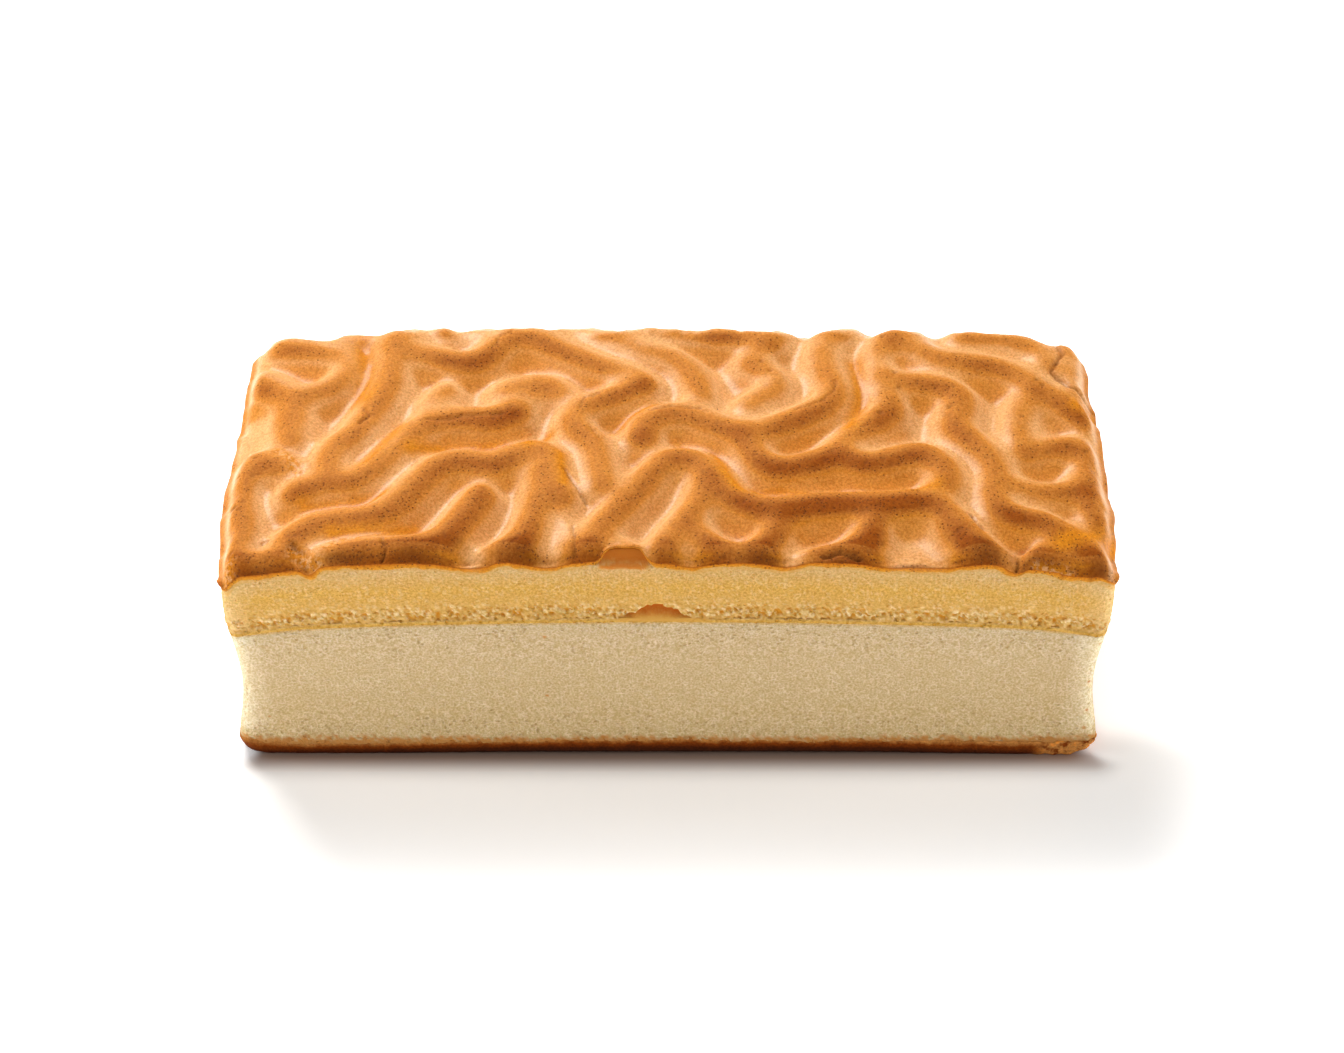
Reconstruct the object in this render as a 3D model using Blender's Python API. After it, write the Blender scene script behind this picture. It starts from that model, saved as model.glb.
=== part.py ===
"""Tiger skin cake: a bar of pale sponge under a golden yolk sheet whose browned skin is deeply wrinkled.

Blender units are metres, +Z is up. The origin is on the table under the middle of the bar. The long
side that faces -Y is the one shown cut. The design below is in millimetres, and MM turns it to metres.
"""

import math

import bmesh
import bpy
import numpy as np

MM = 0.001

# The bar as a whole.
LENGTH = 150.0
DEPTH = 62.0
FRONT_CORNER = 2.2
BACK_CORNER = 5.0
WAIST = 1.85  # how far the ends of the sponge draw in below the skin
SIDE_WAIST_SHARE = 0.35  # the long sides draw in less than the ends
WAIST_LEAN = 0.73  # under 1 sets the waist below half height
WAIST_FOCUS = 3.2  # over 1 keeps it to a band round that level

# The skin's ends bow out between the cut and the back, most in front of the middle.
END_BOW = 1.35
BOW_LEAN = 0.65
BOW_FOCUS = 8.0  # over 1 keeps it near the ends
BOW_FADE = 2.0  # over 1 keeps it near the skin

# Where the two sponges meet: a low arch that also droops towards both ends.
JOINT_HEIGHT = 32.6
JOINT_ARCH = 2.4
JOINT_DROOP = 1.6
JOINT_DROOP_REACH = 18.0
FILLING = 0.8
GAP = 0.3  # clear space on each side of the filling

# The skin: level of its valleys, and how it falls away at the ends.
SKIN_HEIGHT = 44.9
SKIN_DROOP = 4.0
SKIN_DROOP_REACH = 33.0
SKIN_DROOP_POWER = 1.8
SKIN_DROOP_KEPT_AT_BACK = 0.4
END_ROLL = 0.9
BACK_ROLL = 0.3
ROLL_REACH = 2.5
CUT_REACH = 2.4  # how far behind the cut the wrinkles come up to full height
SKIN_LIP = 1.0  # the skin stands over the crumb by this much height
SKIN_OVERHANG = 0.5

# The lattice that carries the wrinkles, and the fewer lines of the plain blocks.
COLUMNS = 96
ROWS = 40
BELL = ((-1.0, 0.0625), (-0.5, 0.25), (0.0, 0.375), (0.5, 0.25), (1.0, 0.0625))  # cells off, weight
PLAIN_COLUMNS = (0.0, 1.2, 2.6, 4.4, 7.5, 12.0, 18.0, 26.0, 36.0, 48.0, 61.0, 75.0)
PLAIN_ROWS = (0.0, 1.2, 2.6, 4.4, 12.0, 21.0, 31.0)

# Levels of the rings down the sponge's cut faces, and of the rounded foot that its crust forms:
# each foot ring is a height, how far it is drawn in, and the radius of its front corners.
SPONGE_RINGS = (26.5, 21.5, 17.0, 12.5, 8.5, 5.5)
FOOT_RINGS = ((3.2, 0.1, 2.6), (0.9, 0.35, 3.4), (0.0, 1.4, 4.6))

# The hollow that the sheet leaves over the filling at the cut, as half of an egg shape.
POCKET_X = -1.2
POCKET_RADII = (5.6, 3.8, 2.9)

# How round the folds of the skin are, and how sharp the crease is where two of them meet.
FOLD_ROUNDNESS = 2.0
FOLD_MERGE = 5.0
CURVE_STEP = 0.8


def fold(height, half_width, *crest):
    """A rounded wrinkle. Its crest is a smooth curve through (x from mid length, distance behind cut)."""
    return height, half_width, crest


FOLDS = {
    "left end": fold(
        3.4, 7.0, (-73, 1), (-71.4, 10), (-72.4, 18), (-71.6, 23.5), (-68.5, 26.6), (-65.3, 25),
    ),
    "front left bump": fold(3.2, 5.0, (-71, 1), (-69, 2.2), (-66, 2.5), (-62.5, 1.8)),
    "front roll": fold(
        3.5, 6.6, (-57.5, 0.8), (-54, 2.2), (-50, 2.8), (-45, 2.9), (-40.5, 3.5), (-37, 5.6), (-35, 8.8),
        (-31.5, 16),
    ),
    "second roll": fold(
        3.6, 7.2, (-62.5, 6.5), (-58.5, 9.6), (-51, 10.4), (-47, 12.4), (-41, 21), (-38, 24.2),
        (-34, 24.6), (-30, 23.8), (-26, 26), (-22.5, 27), (-20, 25), (-17.8, 15.5),
    ),
    "third roll": fold(
        3.5, 7.0, (-62.5, 18.6), (-58, 20), (-54, 20), (-50, 23), (-44.5, 31), (-41, 35),
        (-36, 36.3), (-31, 36), (-27, 38),
    ),
    "left stem": fold(
        3.5, 6.8, (-57.8, 23.5), (-57, 29), (-53.5, 33), (-49.5, 44), (-48.8, 51), (-48.5, 57),
        (-45, 60.5),
    ),
    "left elbow": fold(3.1, 6.6, (-74, 48.5), (-70, 47.6), (-67, 45), (-65.3, 42), (-64.6, 32.6)),
    "left bowl rim": fold(
        3.1, 6.4, (-64.5, 43.5), (-60.5, 45), (-57.3, 48), (-56.3, 51.5), (-58.5, 54.6), (-63, 56),
        (-68, 57.6),
    ),
    "left back bump": fold(2.8, 5.4, (-58, 59.5), (-53.5, 59.8)),
    "long back fold": fold(
        3.5, 6.8, (-48.5, 57), (-45, 54.6), (-40, 52.6), (-36, 51.7), (-33, 52.6), (-31, 55.4),
        (-28, 58), (-24.5, 58.4), (-21, 56.6), (-12, 50.8), (-7, 48.3), (-4, 45.3),
    ),
    "hook": fold(
        3.7, 6.8, (-5, 44.5), (-9.5, 41.8), (-14, 39.3), (-16, 36.3), (-15.3, 33), (-12.6, 28.5),
        (-11, 18.5),
    ),
    "small bump": fold(2.8, 5.8, (-39, 44), (-41.3, 39.8)),
    "wide bump": fold(3.1, 6.8, (-28, 43.8), (-24.5, 45.4), (-20.5, 45), (-18.5, 42.8)),
    "saddle": fold(2.6, 6.2, (-27, 38), (-24.5, 41), (-23, 44)),
    "narrow spur": fold(2.4, 5.2, (-18, 16), (-16.4, 4)),
    "left spur": fold(3.4, 6.0, (-21.8, 22), (-21.8, 16), (-22.6, 10), (-24.6, 4.6), (-29, 0.6)),
    "great fold": fold(
        3.5, 6.6, (-13.6, 1.6), (-12, 6), (-8.4, 12.6), (-2.6, 21.8), (0, 24.8), (3, 25.4), (6, 23.4),
        (10.2, 16.4), (13.5, 13.8), (17.5, 12.6), (26, 13.8), (37, 14.1), (42, 14.8), (45.8, 13.6),
        (49.4, 7.4), (52, 3.2), (54, 0.6),
    ),
    "middle spur": fold(3.2, 6.0, (6, 20), (5.2, 15), (3.6, 11), (0.8, 6.6), (-1.2, 1.6)),
    "front bowl rim": fold(
        3.0, 5.4, (3.6, 10.5), (6.2, 5.4), (10, 2.3), (14, 2.4), (17, 6), (19, 11.5),
    ),
    "right spur": fold(3.0, 5.6, (24, 0.4), (28, 1.6), (31, 3.2), (33.4, 7), (35, 13)),
    "torn fold": fold(2.9, 4.8, (-7, 0.6), (-7, 3.6)),
    "long middle fold": fold(
        3.7, 7.2, (-4.4, 31), (-3, 35.2), (1, 37.2), (5, 36.2), (9, 33.8), (13, 32.2), (17, 33),
        (25, 37.6), (28, 40.6), (29.2, 44.4), (28.2, 49), (27.6, 54), (29.2, 59), (32, 61),
    ),
    "sausage": fold(
        3.6, 7.0, (13, 31.5), (14.6, 27.2), (17, 23.8), (21, 23.2), (29, 25.8), (34, 24.2),
        (42, 26.4), (45.4, 25), (47.2, 22), (47, 19),
    ),
    "right stem": fold(
        3.4, 6.6, (29.5, 28.5), (36, 35.8), (38.4, 39.6), (37.8, 44.4), (37, 50), (37.4, 55),
        (40, 58.2), (44, 60.6),
    ),
    "right diagonal": fold(
        3.5, 6.8, (40, 57.4), (44, 55.4), (48, 52.6), (53, 51.8), (58, 51), (62, 48.8), (68.8, 42),
        (74.5, 36.6),
    ),
    "right serpent": fold(
        3.5, 6.6, (38, 47), (42.5, 46.2), (47.5, 45.2), (50.6, 42.4), (50, 35), (52, 31),
        (54.6, 27), (55.8, 22.5), (55, 17.6), (56.2, 13.2), (59, 11.6), (62.6, 10.8), (66, 8.4),
        (69.6, 5), (73, 1.2),
    ),
    "right rib": fold(3.1, 6.2, (63.5, 45), (60.8, 36.6), (60.6, 32), (61, 28.6)),
    "right back": fold(3.4, 6.6, (52.5, 58.8), (57, 59.2), (62.5, 57.8), (66.4, 54.6), (66.8, 51.5)),
    "corner bump": fold(2.6, 5.0, (71, 57), (73.5, 54.5)),
    "corner flap": fold(2.8, 5.2, (72, 52.5), (71.2, 48.5), (71.8, 44.8)),
    "right end": fold(
        3.2, 6.6, (66, 30.4), (70, 30.6), (71.8, 27.6), (71, 22.6), (71.2, 17), (72.4, 12),
    ),
    "right link": fold(3.0, 6.2, (59, 19.4), (64, 18.6), (69.5, 20)),
    "front right spur": fold(2.9, 5.4, (59, 1.2), (61, 2.6), (63.2, 4.6), (65, 7.4)),
    "front right bump": fold(2.7, 4.8, (61.5, 2.2), (65.5, 2.2)),
    "back bowl rim": fold(
        3.2, 6.6, (20, 60), (17.6, 56), (15, 52.4), (18, 48.4), (18.8, 44.8), (13.6, 39),
    ),
    "back edge right": fold(3.6, 6.2, (-9, 61.4), (4, 60.4), (9.5, 59), (14, 58.6), (17.6, 57)),
    "back edge left": fold(
        3.5, 6.2, (-40, 60.6), (-34, 61.4), (-20, 61.8), (-15, 61), (-6, 56), (-1, 53.8),
        (2.8, 50.8), (4.8, 46.6), (5.8, 42),
    ),
}

PALE_CRUMB = (0.64, 0.50, 0.30)
GOLDEN_CRUMB = (0.68, 0.40, 0.10)
CUSTARD = (0.60, 0.36, 0.08)
BROWN_SKIN = (0.52, 0.22, 0.05)
SKIN_DEPTH_FOR_COLOUR = 0.6


def smooth_step(value, low, high):
    """0 below low, 1 above high, and an S curve between them."""
    share = np.clip((value - low) / (high - low), 0.0, 1.0)
    return share * share * (3.0 - 2.0 * share)


def curve_through(points):
    """Points close together along the smooth curve that passes through each of the given ones."""
    given = np.array(points, float)
    ends = (2 * given[:1] - given[1:2], given, 2 * given[-1:] - given[-2:-1])
    frame = np.concatenate(ends)
    pieces = []
    for before, start, end, after in zip(frame, frame[1:], frame[2:], frame[3:]):
        count = max(2, int(np.hypot(*(end - start)) / CURVE_STEP))
        t = np.linspace(0.0, 1.0, count, endpoint=False)[:, None]
        bend = (2 * before - 5 * start + 4 * end - after) * t**2
        twist = (3 * start - before - 3 * end + after) * t**3
        pieces.append(0.5 * (2 * start + (end - before) * t + bend + twist))
    return np.concatenate(pieces + [given[-1:]])


def distance_to_curve(x, y, curve):
    """How far each point of a grid lies from a curve of short straight steps."""
    nearest = np.full(x.shape, np.inf)
    for (ax, ay), (bx, by) in zip(curve, curve[1:]):
        run, rise = bx - ax, by - ay
        along = ((x - ax) * run + (y - ay) * rise) / (run * run + rise * rise)
        along = np.clip(along, 0.0, 1.0)
        nearest = np.minimum(nearest, np.hypot(x - ax - along * run, y - ay - along * rise))
    return nearest


def wrinkles(x, behind_cut):
    """Height of the folds over the valleys. Folds that meet run together with a soft crease."""
    total = np.zeros(x.shape)
    for height, half_width, crest in FOLDS.values():
        reach = distance_to_curve(x, behind_cut, curve_through(crest)) / half_width
        fold = height * np.clip(1.0 - reach**2, 0.0, 1.0) ** FOLD_ROUNDNESS
        total += fold**FOLD_MERGE
    return total ** (1.0 / FOLD_MERGE)


def joint_height(x):
    """Level of the joint between the sponges: an arch with drooping ends."""
    from_middle = np.abs(x)
    arch = JOINT_ARCH * (2 * from_middle / LENGTH) ** 2
    into_droop = np.clip(from_middle - LENGTH / 2 + JOINT_DROOP_REACH, 0.0, None) / JOINT_DROOP_REACH
    return JOINT_HEIGHT - arch - JOINT_DROOP * into_droop**2


def skin_height(x, y):
    """Level of the wrinkled skin over a point of the bar."""
    behind_cut = y + DEPTH / 2
    from_end = LENGTH / 2 - np.abs(x)
    from_back = DEPTH / 2 - y
    into_droop = np.clip(1.0 - from_end / SKIN_DROOP_REACH, 0.0, 1.0) ** SKIN_DROOP_POWER
    back_share = 1.0 - (1.0 - SKIN_DROOP_KEPT_AT_BACK) * behind_cut / DEPTH
    level = SKIN_HEIGHT - SKIN_DROOP * into_droop * back_share
    torn_x, _ = FOLDS["torn fold"][2][0]
    torn = 0.75 * np.exp(-(((x - torn_x) / 3.6) ** 4))
    at_cut = smooth_step(behind_cut, -0.5, CUT_REACH)
    at_cut = np.maximum(at_cut, torn)
    at_end = smooth_step(from_end, 0.0, ROLL_REACH)
    at_back = smooth_step(from_back, 0.0, ROLL_REACH)
    relief = wrinkles(x, behind_cut) * at_cut * (0.35 + 0.65 * at_end) * (0.8 + 0.2 * at_back)
    return level + relief - END_ROLL * (1.0 - at_end) - BACK_ROLL * (1.0 - at_back)


def softened_skin(x, y):
    """skin_height as a mean over one lattice cell each way, so that a narrow crease runs on evenly."""
    total = np.zeros(x.shape)
    for cells_x, weight_x in BELL:
        for cells_y, weight_y in BELL:
            near_x = np.clip(x + cells_x * LENGTH / COLUMNS, -LENGTH / 2, LENGTH / 2)
            near_y = np.clip(y + cells_y * DEPTH / ROWS, -DEPTH / 2, DEPTH / 2)
            total += weight_x * weight_y * skin_height(near_x, near_y)
    return total


def rounded_plan(
    x, y, z=SKIN_HEIGHT, inset=0.0, front_corner=FRONT_CORNER, back_corner=BACK_CORNER
):
    """Moves the points of a rectangle so that its edge becomes the bar's outline with round corners.

    In each corner square, whose side is the corner's radius, a point keeps its direction from the
    square's inner corner, and its larger offset becomes its distance from there. The inset is
    that of the ends, and the long sides take their share of it. Then the ends bow out, which
    fades downwards.
    """
    radius = np.where(y < 0, front_corner, back_corner)
    inner_x, inner_y = LENGTH / 2 - radius, DEPTH / 2 - radius
    over_x = np.clip(np.abs(x) - inner_x, 0.0, None)
    over_y = np.clip(np.abs(y) - inner_y, 0.0, None)
    far = np.hypot(over_x, over_y)
    shrink = np.where(far > 0, np.maximum(over_x, over_y) / np.where(far > 0, far, 1.0), 1.0)
    plan_x = np.minimum(np.abs(x), inner_x) + over_x * shrink
    plan_y = np.minimum(np.abs(y), inner_y) + over_y * shrink
    scale_x = 1.0 - 2 * inset / LENGTH
    scale_y = 1.0 - 2 * inset * SIDE_WAIST_SHARE / DEPTH
    plan_x, plan_y = np.copysign(plan_x * scale_x, x), np.copysign(plan_y * scale_y, y)
    share = np.clip(plan_y / DEPTH + 0.5, 0.0, 1.0) ** BOW_LEAN
    bow = END_BOW * np.clip(z / SKIN_HEIGHT, 0.0, 1.0) ** BOW_FADE * np.sin(math.pi * share)
    return plan_x + np.copysign(bow, x) * (2 * np.abs(plan_x) / LENGTH) ** BOW_FOCUS, plan_y


def waist(z):
    """How far the ends draw in at a height: most in the lower half, nothing at skin and crust."""
    share = np.clip(z / SKIN_HEIGHT, 0.0, 1.0)
    return WAIST * np.sin(math.pi * share**WAIST_LEAN) ** WAIST_FOCUS


def principled(name, colour, roughness):
    material = bpy.data.materials.new(name)
    material.use_nodes = True
    shader = material.node_tree.nodes["Principled BSDF"]
    shader.inputs["Base Color"].default_value = (*colour, 1.0)
    shader.inputs["Roughness"].default_value = roughness
    shader.inputs["Metallic"].default_value = 0.0
    return material


def mirrored_lines(offsets, size):
    """Grid lines from a list of offsets inwards from the edge, for both halves of a size."""
    low = np.array(offsets) - size / 2
    return np.concatenate([low, -low[-2::-1]])


def grid_object(name, columns, rows):
    """A flat grid object with one vertex per crossing, and its vertices in lattice order."""
    bpy.ops.mesh.primitive_grid_add(x_subdivisions=columns, y_subdivisions=rows, size=2.0)
    grid = bpy.context.active_object
    grid.name = grid.data.name = name
    return grid


def edge_of_lattice(columns, rows):
    """Lattice indexes (column, row) round the grid: front, right end, back and left end."""
    front = [(i, 0) for i in range(columns + 1)]
    right = [(columns, j) for j in range(1, rows + 1)]
    back = [(i, rows) for i in range(columns - 1, -1, -1)]
    left = [(0, j) for j in range(rows - 1, 0, -1)]
    return front + right + back + left


def extruded_ring(bm, ring):
    """A copy of a closed ring of vertices, joined to it by a band of faces, in the same order."""
    edges = [bm.edges.get(pair) for pair in zip(ring, ring[1:] + ring[:1])]
    made = bmesh.ops.extrude_edge_only(bm, edges=edges)["geom"]
    fresh = {item for item in made if isinstance(item, bmesh.types.BMVert)}
    return [next(e.other_vert(v) for e in v.link_edges if e.other_vert(v) in fresh) for v in ring]


def close_with_staves(bm, ring, columns, rows):
    """Closes the lowest ring with strips that run from front to back, so that an arch stays an arch."""
    back = columns + rows + columns
    for i in range(1, columns - 1):
        bm.faces.new((ring[i], ring[i + 1], ring[back - i - 1], ring[back - i]))
    bm.faces.new([ring[0], ring[1], ring[back - 1]] + ring[back:])
    bm.faces.new(ring[columns - 1 : columns + rows + 2])


def block(name, lines_x, lines_y, top, rings, material):
    """A closed solid: a grid whose heights come from top(x, y), walls down through the rings, a base.

    Each ring is a function of the lattice points round the edge and of their top heights, and
    gives the ring's x, y and z.
    """
    columns, rows = len(lines_x) - 1, len(lines_y) - 1
    solid = grid_object(name, columns, rows)
    x, y = (part.ravel() for part in np.meshgrid(lines_x, lines_y))
    plan_x, plan_y, z = top(x, y)
    solid.data.vertices.foreach_set("co", (np.stack([plan_x, plan_y, z], axis=1) * MM).ravel())
    bm = bmesh.new()
    bm.from_mesh(solid.data)
    bm.verts.ensure_lookup_table()
    order = [j * (columns + 1) + i for i, j in edge_of_lattice(columns, rows)]
    ring = [bm.verts[index] for index in order]
    for place in rings:
        ring = extruded_ring(bm, ring)
        for vertex, point in zip(ring, np.stack(place(x[order], y[order], z[order]), axis=1)):
            vertex.co = point * MM
    close_with_staves(bm, ring, columns, rows)
    bmesh.ops.recalc_face_normals(bm, faces=bm.faces)
    bm.to_mesh(solid.data)
    bm.free()
    solid.data.materials.append(material)
    solid.data.shade_smooth()
    solid.data.set_sharp_from_angle(angle=math.radians(40))
    return solid


def layer_surface(offset):
    """The surface at an offset from the joint, drawn in by the waist at its height."""

    def place(x, y, _=None):
        z = joint_height(x) + offset
        plan_x, plan_y = rounded_plan(x, y, z, waist(z))
        return plan_x, plan_y, joint_height(plan_x) + offset

    return place


def yolk_sheet():
    """The golden sheet: wrinkled skin on top, a lip that stands out at its edge, crumb below."""

    def skin(x, y):
        plan_x, plan_y = rounded_plan(x, y)
        return plan_x, plan_y, softened_skin(x, y)

    def below_lip(x, y, top_z):
        plan_x, plan_y = rounded_plan(x, y, inset=SKIN_OVERHANG)
        return plan_x, plan_y, top_z - SKIN_LIP

    def half_way(x, y, top_z):
        low_x, low_y, low_z = under(x, y)
        high_x, high_y, high_z = below_lip(x, y, top_z)
        return (low_x + high_x) / 2, (low_y + high_y) / 2, (low_z + high_z) / 2

    under = layer_surface(FILLING / 2 + GAP)
    lines_x = np.linspace(-LENGTH / 2, LENGTH / 2, COLUMNS + 1)
    lines_y = np.linspace(-DEPTH / 2, DEPTH / 2, ROWS + 1)
    material = principled("yolk_sheet", GOLDEN_CRUMB, 0.85)
    sheet = block("yolk_sheet", lines_x, lines_y, skin, (below_lip, half_way, under), material)
    sheet.data.materials.append(principled("baked_skin", BROWN_SKIN, 0.6))
    for face in sheet.data.polygons:
        above = face.center.z / MM - joint_height(face.center.x / MM)
        face.material_index = int(above > FILLING and face.normal.z > SKIN_DEPTH_FOR_COLOUR)
    return sheet


def filling():
    """The thin custard line between the sponges."""
    top = layer_surface(FILLING / 2)
    under = layer_surface(-FILLING / 2)
    lines_x = mirrored_lines(PLAIN_COLUMNS, LENGTH)
    lines_y = mirrored_lines(PLAIN_ROWS, DEPTH)
    return block("filling", lines_x, lines_y, top, (under,), principled("filling", CUSTARD, 0.5))


def sponge():
    """The pale sponge: arched top, waisted sides, a crust that rounds in to a flat base."""

    def ring_at(height):
        def place(x, y, top_z):
            z = height * top_z / (JOINT_HEIGHT - FILLING / 2 - GAP)
            return *rounded_plan(x, y, z, waist(z)), z

        return place

    def foot_at(height, inset, corner):
        def place(x, y, _):
            back_corner = max(corner, BACK_CORNER)
            plan_x, plan_y = rounded_plan(x, y, height, inset, corner, back_corner)
            return plan_x, plan_y, np.full(x.shape, height)

        return place

    top = layer_surface(-FILLING / 2 - GAP)
    rings = [ring_at(height) for height in SPONGE_RINGS] + [foot_at(*foot) for foot in FOOT_RINGS]
    lines_x = mirrored_lines(PLAIN_COLUMNS, LENGTH)
    lines_y = mirrored_lines(PLAIN_ROWS, DEPTH)
    return block("sponge", lines_x, lines_y, top, rings, principled("sponge", PALE_CRUMB, 0.9))


def pocket_cutter():
    """An egg shape that bites the hollow out of the sheet's lower front edge."""
    bpy.ops.mesh.primitive_uv_sphere_add(segments=20, ring_count=10, radius=1.0)
    cutter = bpy.context.active_object
    cutter.name = cutter.data.name = "pocket_cutter"
    low_edge = float(joint_height(np.array(POCKET_X))) + FILLING / 2 + GAP
    front = -DEPTH / 2 + SIDE_WAIST_SHARE * float(waist(np.array(low_edge)))
    for vertex in cutter.data.vertices:
        x, y, z = (part * radius for part, radius in zip(vertex.co, POCKET_RADII))
        vertex.co = ((x + POCKET_X) * MM, (y + front) * MM, (z + low_edge) * MM)
    cutter.hide_render = True
    cutter.display_type = "WIRE"
    return cutter


def move_to(collection, item):
    for owner in list(item.users_collection):
        owner.objects.unlink(item)
    collection.objects.link(item)


def main():
    for item in list(bpy.data.objects):
        bpy.data.objects.remove(item, do_unlink=True)
    cake = bpy.data.collections.new("tiger_skin_cake")
    cutters = bpy.data.collections.new("cutters")
    for collection in (cake, cutters):
        bpy.context.scene.collection.children.link(collection)

    sheet = yolk_sheet()
    for piece in (sponge(), filling(), sheet):
        move_to(cake, piece)
    cutter = pocket_cutter()
    move_to(cutters, cutter)
    pocket = sheet.modifiers.new("pocket", "BOOLEAN")
    pocket.operation = "DIFFERENCE"
    pocket.object = cutter


main()
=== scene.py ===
"""Looks of a tiger skin cake: pale sponge under a golden yolk sheet with a browned, wrinkled skin.

Every piece is a surface worked out on a grid, in millimetres, and stored in metres. +Y runs from the
cut long side to the one behind, +Z runs up through the layers, and the bar stands on z = 0.
"""

import math

import bpy
import numpy as np
from bpy.props import FloatProperty, FloatVectorProperty, PointerProperty
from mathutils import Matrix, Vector


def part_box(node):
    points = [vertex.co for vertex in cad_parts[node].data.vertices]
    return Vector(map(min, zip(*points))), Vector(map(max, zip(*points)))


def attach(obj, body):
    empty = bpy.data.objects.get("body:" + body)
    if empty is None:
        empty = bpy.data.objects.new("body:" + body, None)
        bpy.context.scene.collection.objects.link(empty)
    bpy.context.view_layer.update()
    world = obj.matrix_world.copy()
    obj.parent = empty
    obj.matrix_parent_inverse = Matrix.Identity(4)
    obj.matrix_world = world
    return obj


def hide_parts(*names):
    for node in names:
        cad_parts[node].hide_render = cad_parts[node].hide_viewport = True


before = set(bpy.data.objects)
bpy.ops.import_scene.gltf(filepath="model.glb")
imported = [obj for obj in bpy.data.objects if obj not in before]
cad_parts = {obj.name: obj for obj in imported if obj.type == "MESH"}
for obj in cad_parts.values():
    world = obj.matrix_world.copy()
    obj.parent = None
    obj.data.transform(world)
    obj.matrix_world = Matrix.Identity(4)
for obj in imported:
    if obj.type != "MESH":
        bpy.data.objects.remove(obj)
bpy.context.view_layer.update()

bl_info = {
    "name": "Tiger skin cake",
    "version": (1, 0, 0),
    "blender": (4, 5, 0),
    "location": "3D View > Sidebar > Cake",
    "description": "Builds the crumb, filling, crust and wrinkled skin of a tiger skin cake",
    "category": "Add Mesh",
}

MM = 0.001

# The bar's outline and layers, as the solids have them.
SHEET_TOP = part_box("yolk_sheet")[1][2] / MM
LENGTH = 150.0  # at the cut, and behind it the skin's ends bow out a little
DEPTH = 62.0
END_BOW = 1.35
BOW_LEAN = 0.65  # under 1 sets the bow in front of the middle
BOW_FOCUS = 8.0  # over 1 keeps it near the ends
BOW_FADE = 2.0  # over 1 keeps it near the skin
SKIN_LATTICE = (96, 40)  # columns and rows that carry the folds on the solid
SKIN_LEVEL = 44.9  # of the valleys between the folds
JOINT_HEIGHT = 32.6
JOINT_ARCH = 2.4
JOINT_DROOP = 1.6
JOINT_DROOP_REACH = 18.0
FILLING = 0.8
SKIN_OVERHANG = 0.5
WAIST = 1.85  # how far the ends of the sponge draw in below the skin
SIDE_WAIST_SHARE = 0.35  # the long sides draw in less than the ends
WAIST_LEAN = 0.73  # under 1 sets the waist below half height
WAIST_FOCUS = 3.2  # over 1 keeps it to a band round that level
FOOT_LEVELS = (0.0, 0.9, 3.2, 5.5)
FOOT_INSETS = (1.4, 0.35, 0.1, 0.42)
FRONT_CORNERS = (4.6, 3.4, 2.6, 2.2)  # radius at each level of the foot, and the last one above it
BACK_CORNER = 5.0
CRUST_TOP = 3.5

# The fine grid round the bar, which all its walls share, and the rings down its cut faces.
COLUMNS = 440
ROWS = 182
CRUMB_STEP = 0.34
SPONGE_STEP = 0.42
FILLING_RINGS = 6
CRUST_RINGS = 13

# How the solid's skin is refined: means over small reaches, and one over a reach that tells its
# crests from its hollows, with the stand over it at which the side of a fold turns into a crest.
FIRST_MEAN = 0.8
LAST_MEAN = 0.5
FOLD_REACH = 4.0
CREST_STAND = 0.9
MISSED_ROWS = 3  # rows along the cut where a place of the lattice may have no point of its own,
MISSED_DROP = 0.7  # and then lies this far below both places beside it

# Dents and rounding of the skin where it rolls down at the ends and the back: depth and size.
DENTS = (0.65, 4.6)
ROUNDING = (1.1, 2.4)

# The skin's cut edge, ring by ring: how far in under the rim, and share of the edge's height down.
EDGE_CURL = ((0.03, 0.2), (0.06, 0.5), (0.12, 0.8), (0.3, 1.0), (0.9, 1.05))

# How far the pieces reach into each other, so that no gap shows between them.
SKIN_LAP = 0.5
JOINT_LAP = 0.1
FILLING_LAP = 0.2
CRUST_LAP = 0.6

# Faces inside the bar that close the skin and the yolk crumb: how far in, and how far over the joint.
CORE_INSET = 3.0
SKIN_CORE_RISE = 8.5
YOLK_CORE_RISE = 8.0

# Where the cut goes through a raised fold, the skin stands up as a small arch over a torn hollow:
# places along the cut, and the share of the full rise at each.
TORN_PLACES = (-14.0, -12.0, -11.0, -10.4, -9.7, -8.6, -7.2, -5.6, -4.6, -4.1, -3.4, -2.6, -2.0)
TORN_SHARES = (0.0, 0.1, 0.44, 0.74, 0.92, 1.0, 0.96, 1.0, 0.93, 0.72, 0.33, 0.1, 0.0)
TORN_RISE = 2.8
TORN_LEAN = 2.0

# Brown crumbs stuck to the sponge's cut face: x, height and radius.
STUCK_SPECKS = (
    (-20.8, 28.6, 0.4),
    (-20.8, 14.3, 0.35),
    (73.6, 28.6, 0.4),
    (73.2, 26.4, 0.3),
    (72.2, 17.3, 0.35),
    (72.4, 10.8, 0.35),
    (72.2, 6.8, 0.4),
    (-69.0, 9.5, 0.3),
)

# The hollow over the filling at the cut: middle, reach to the left and right, and height.
POCKET = (-2.6, 5.0, 6.8, 3.4)

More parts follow.
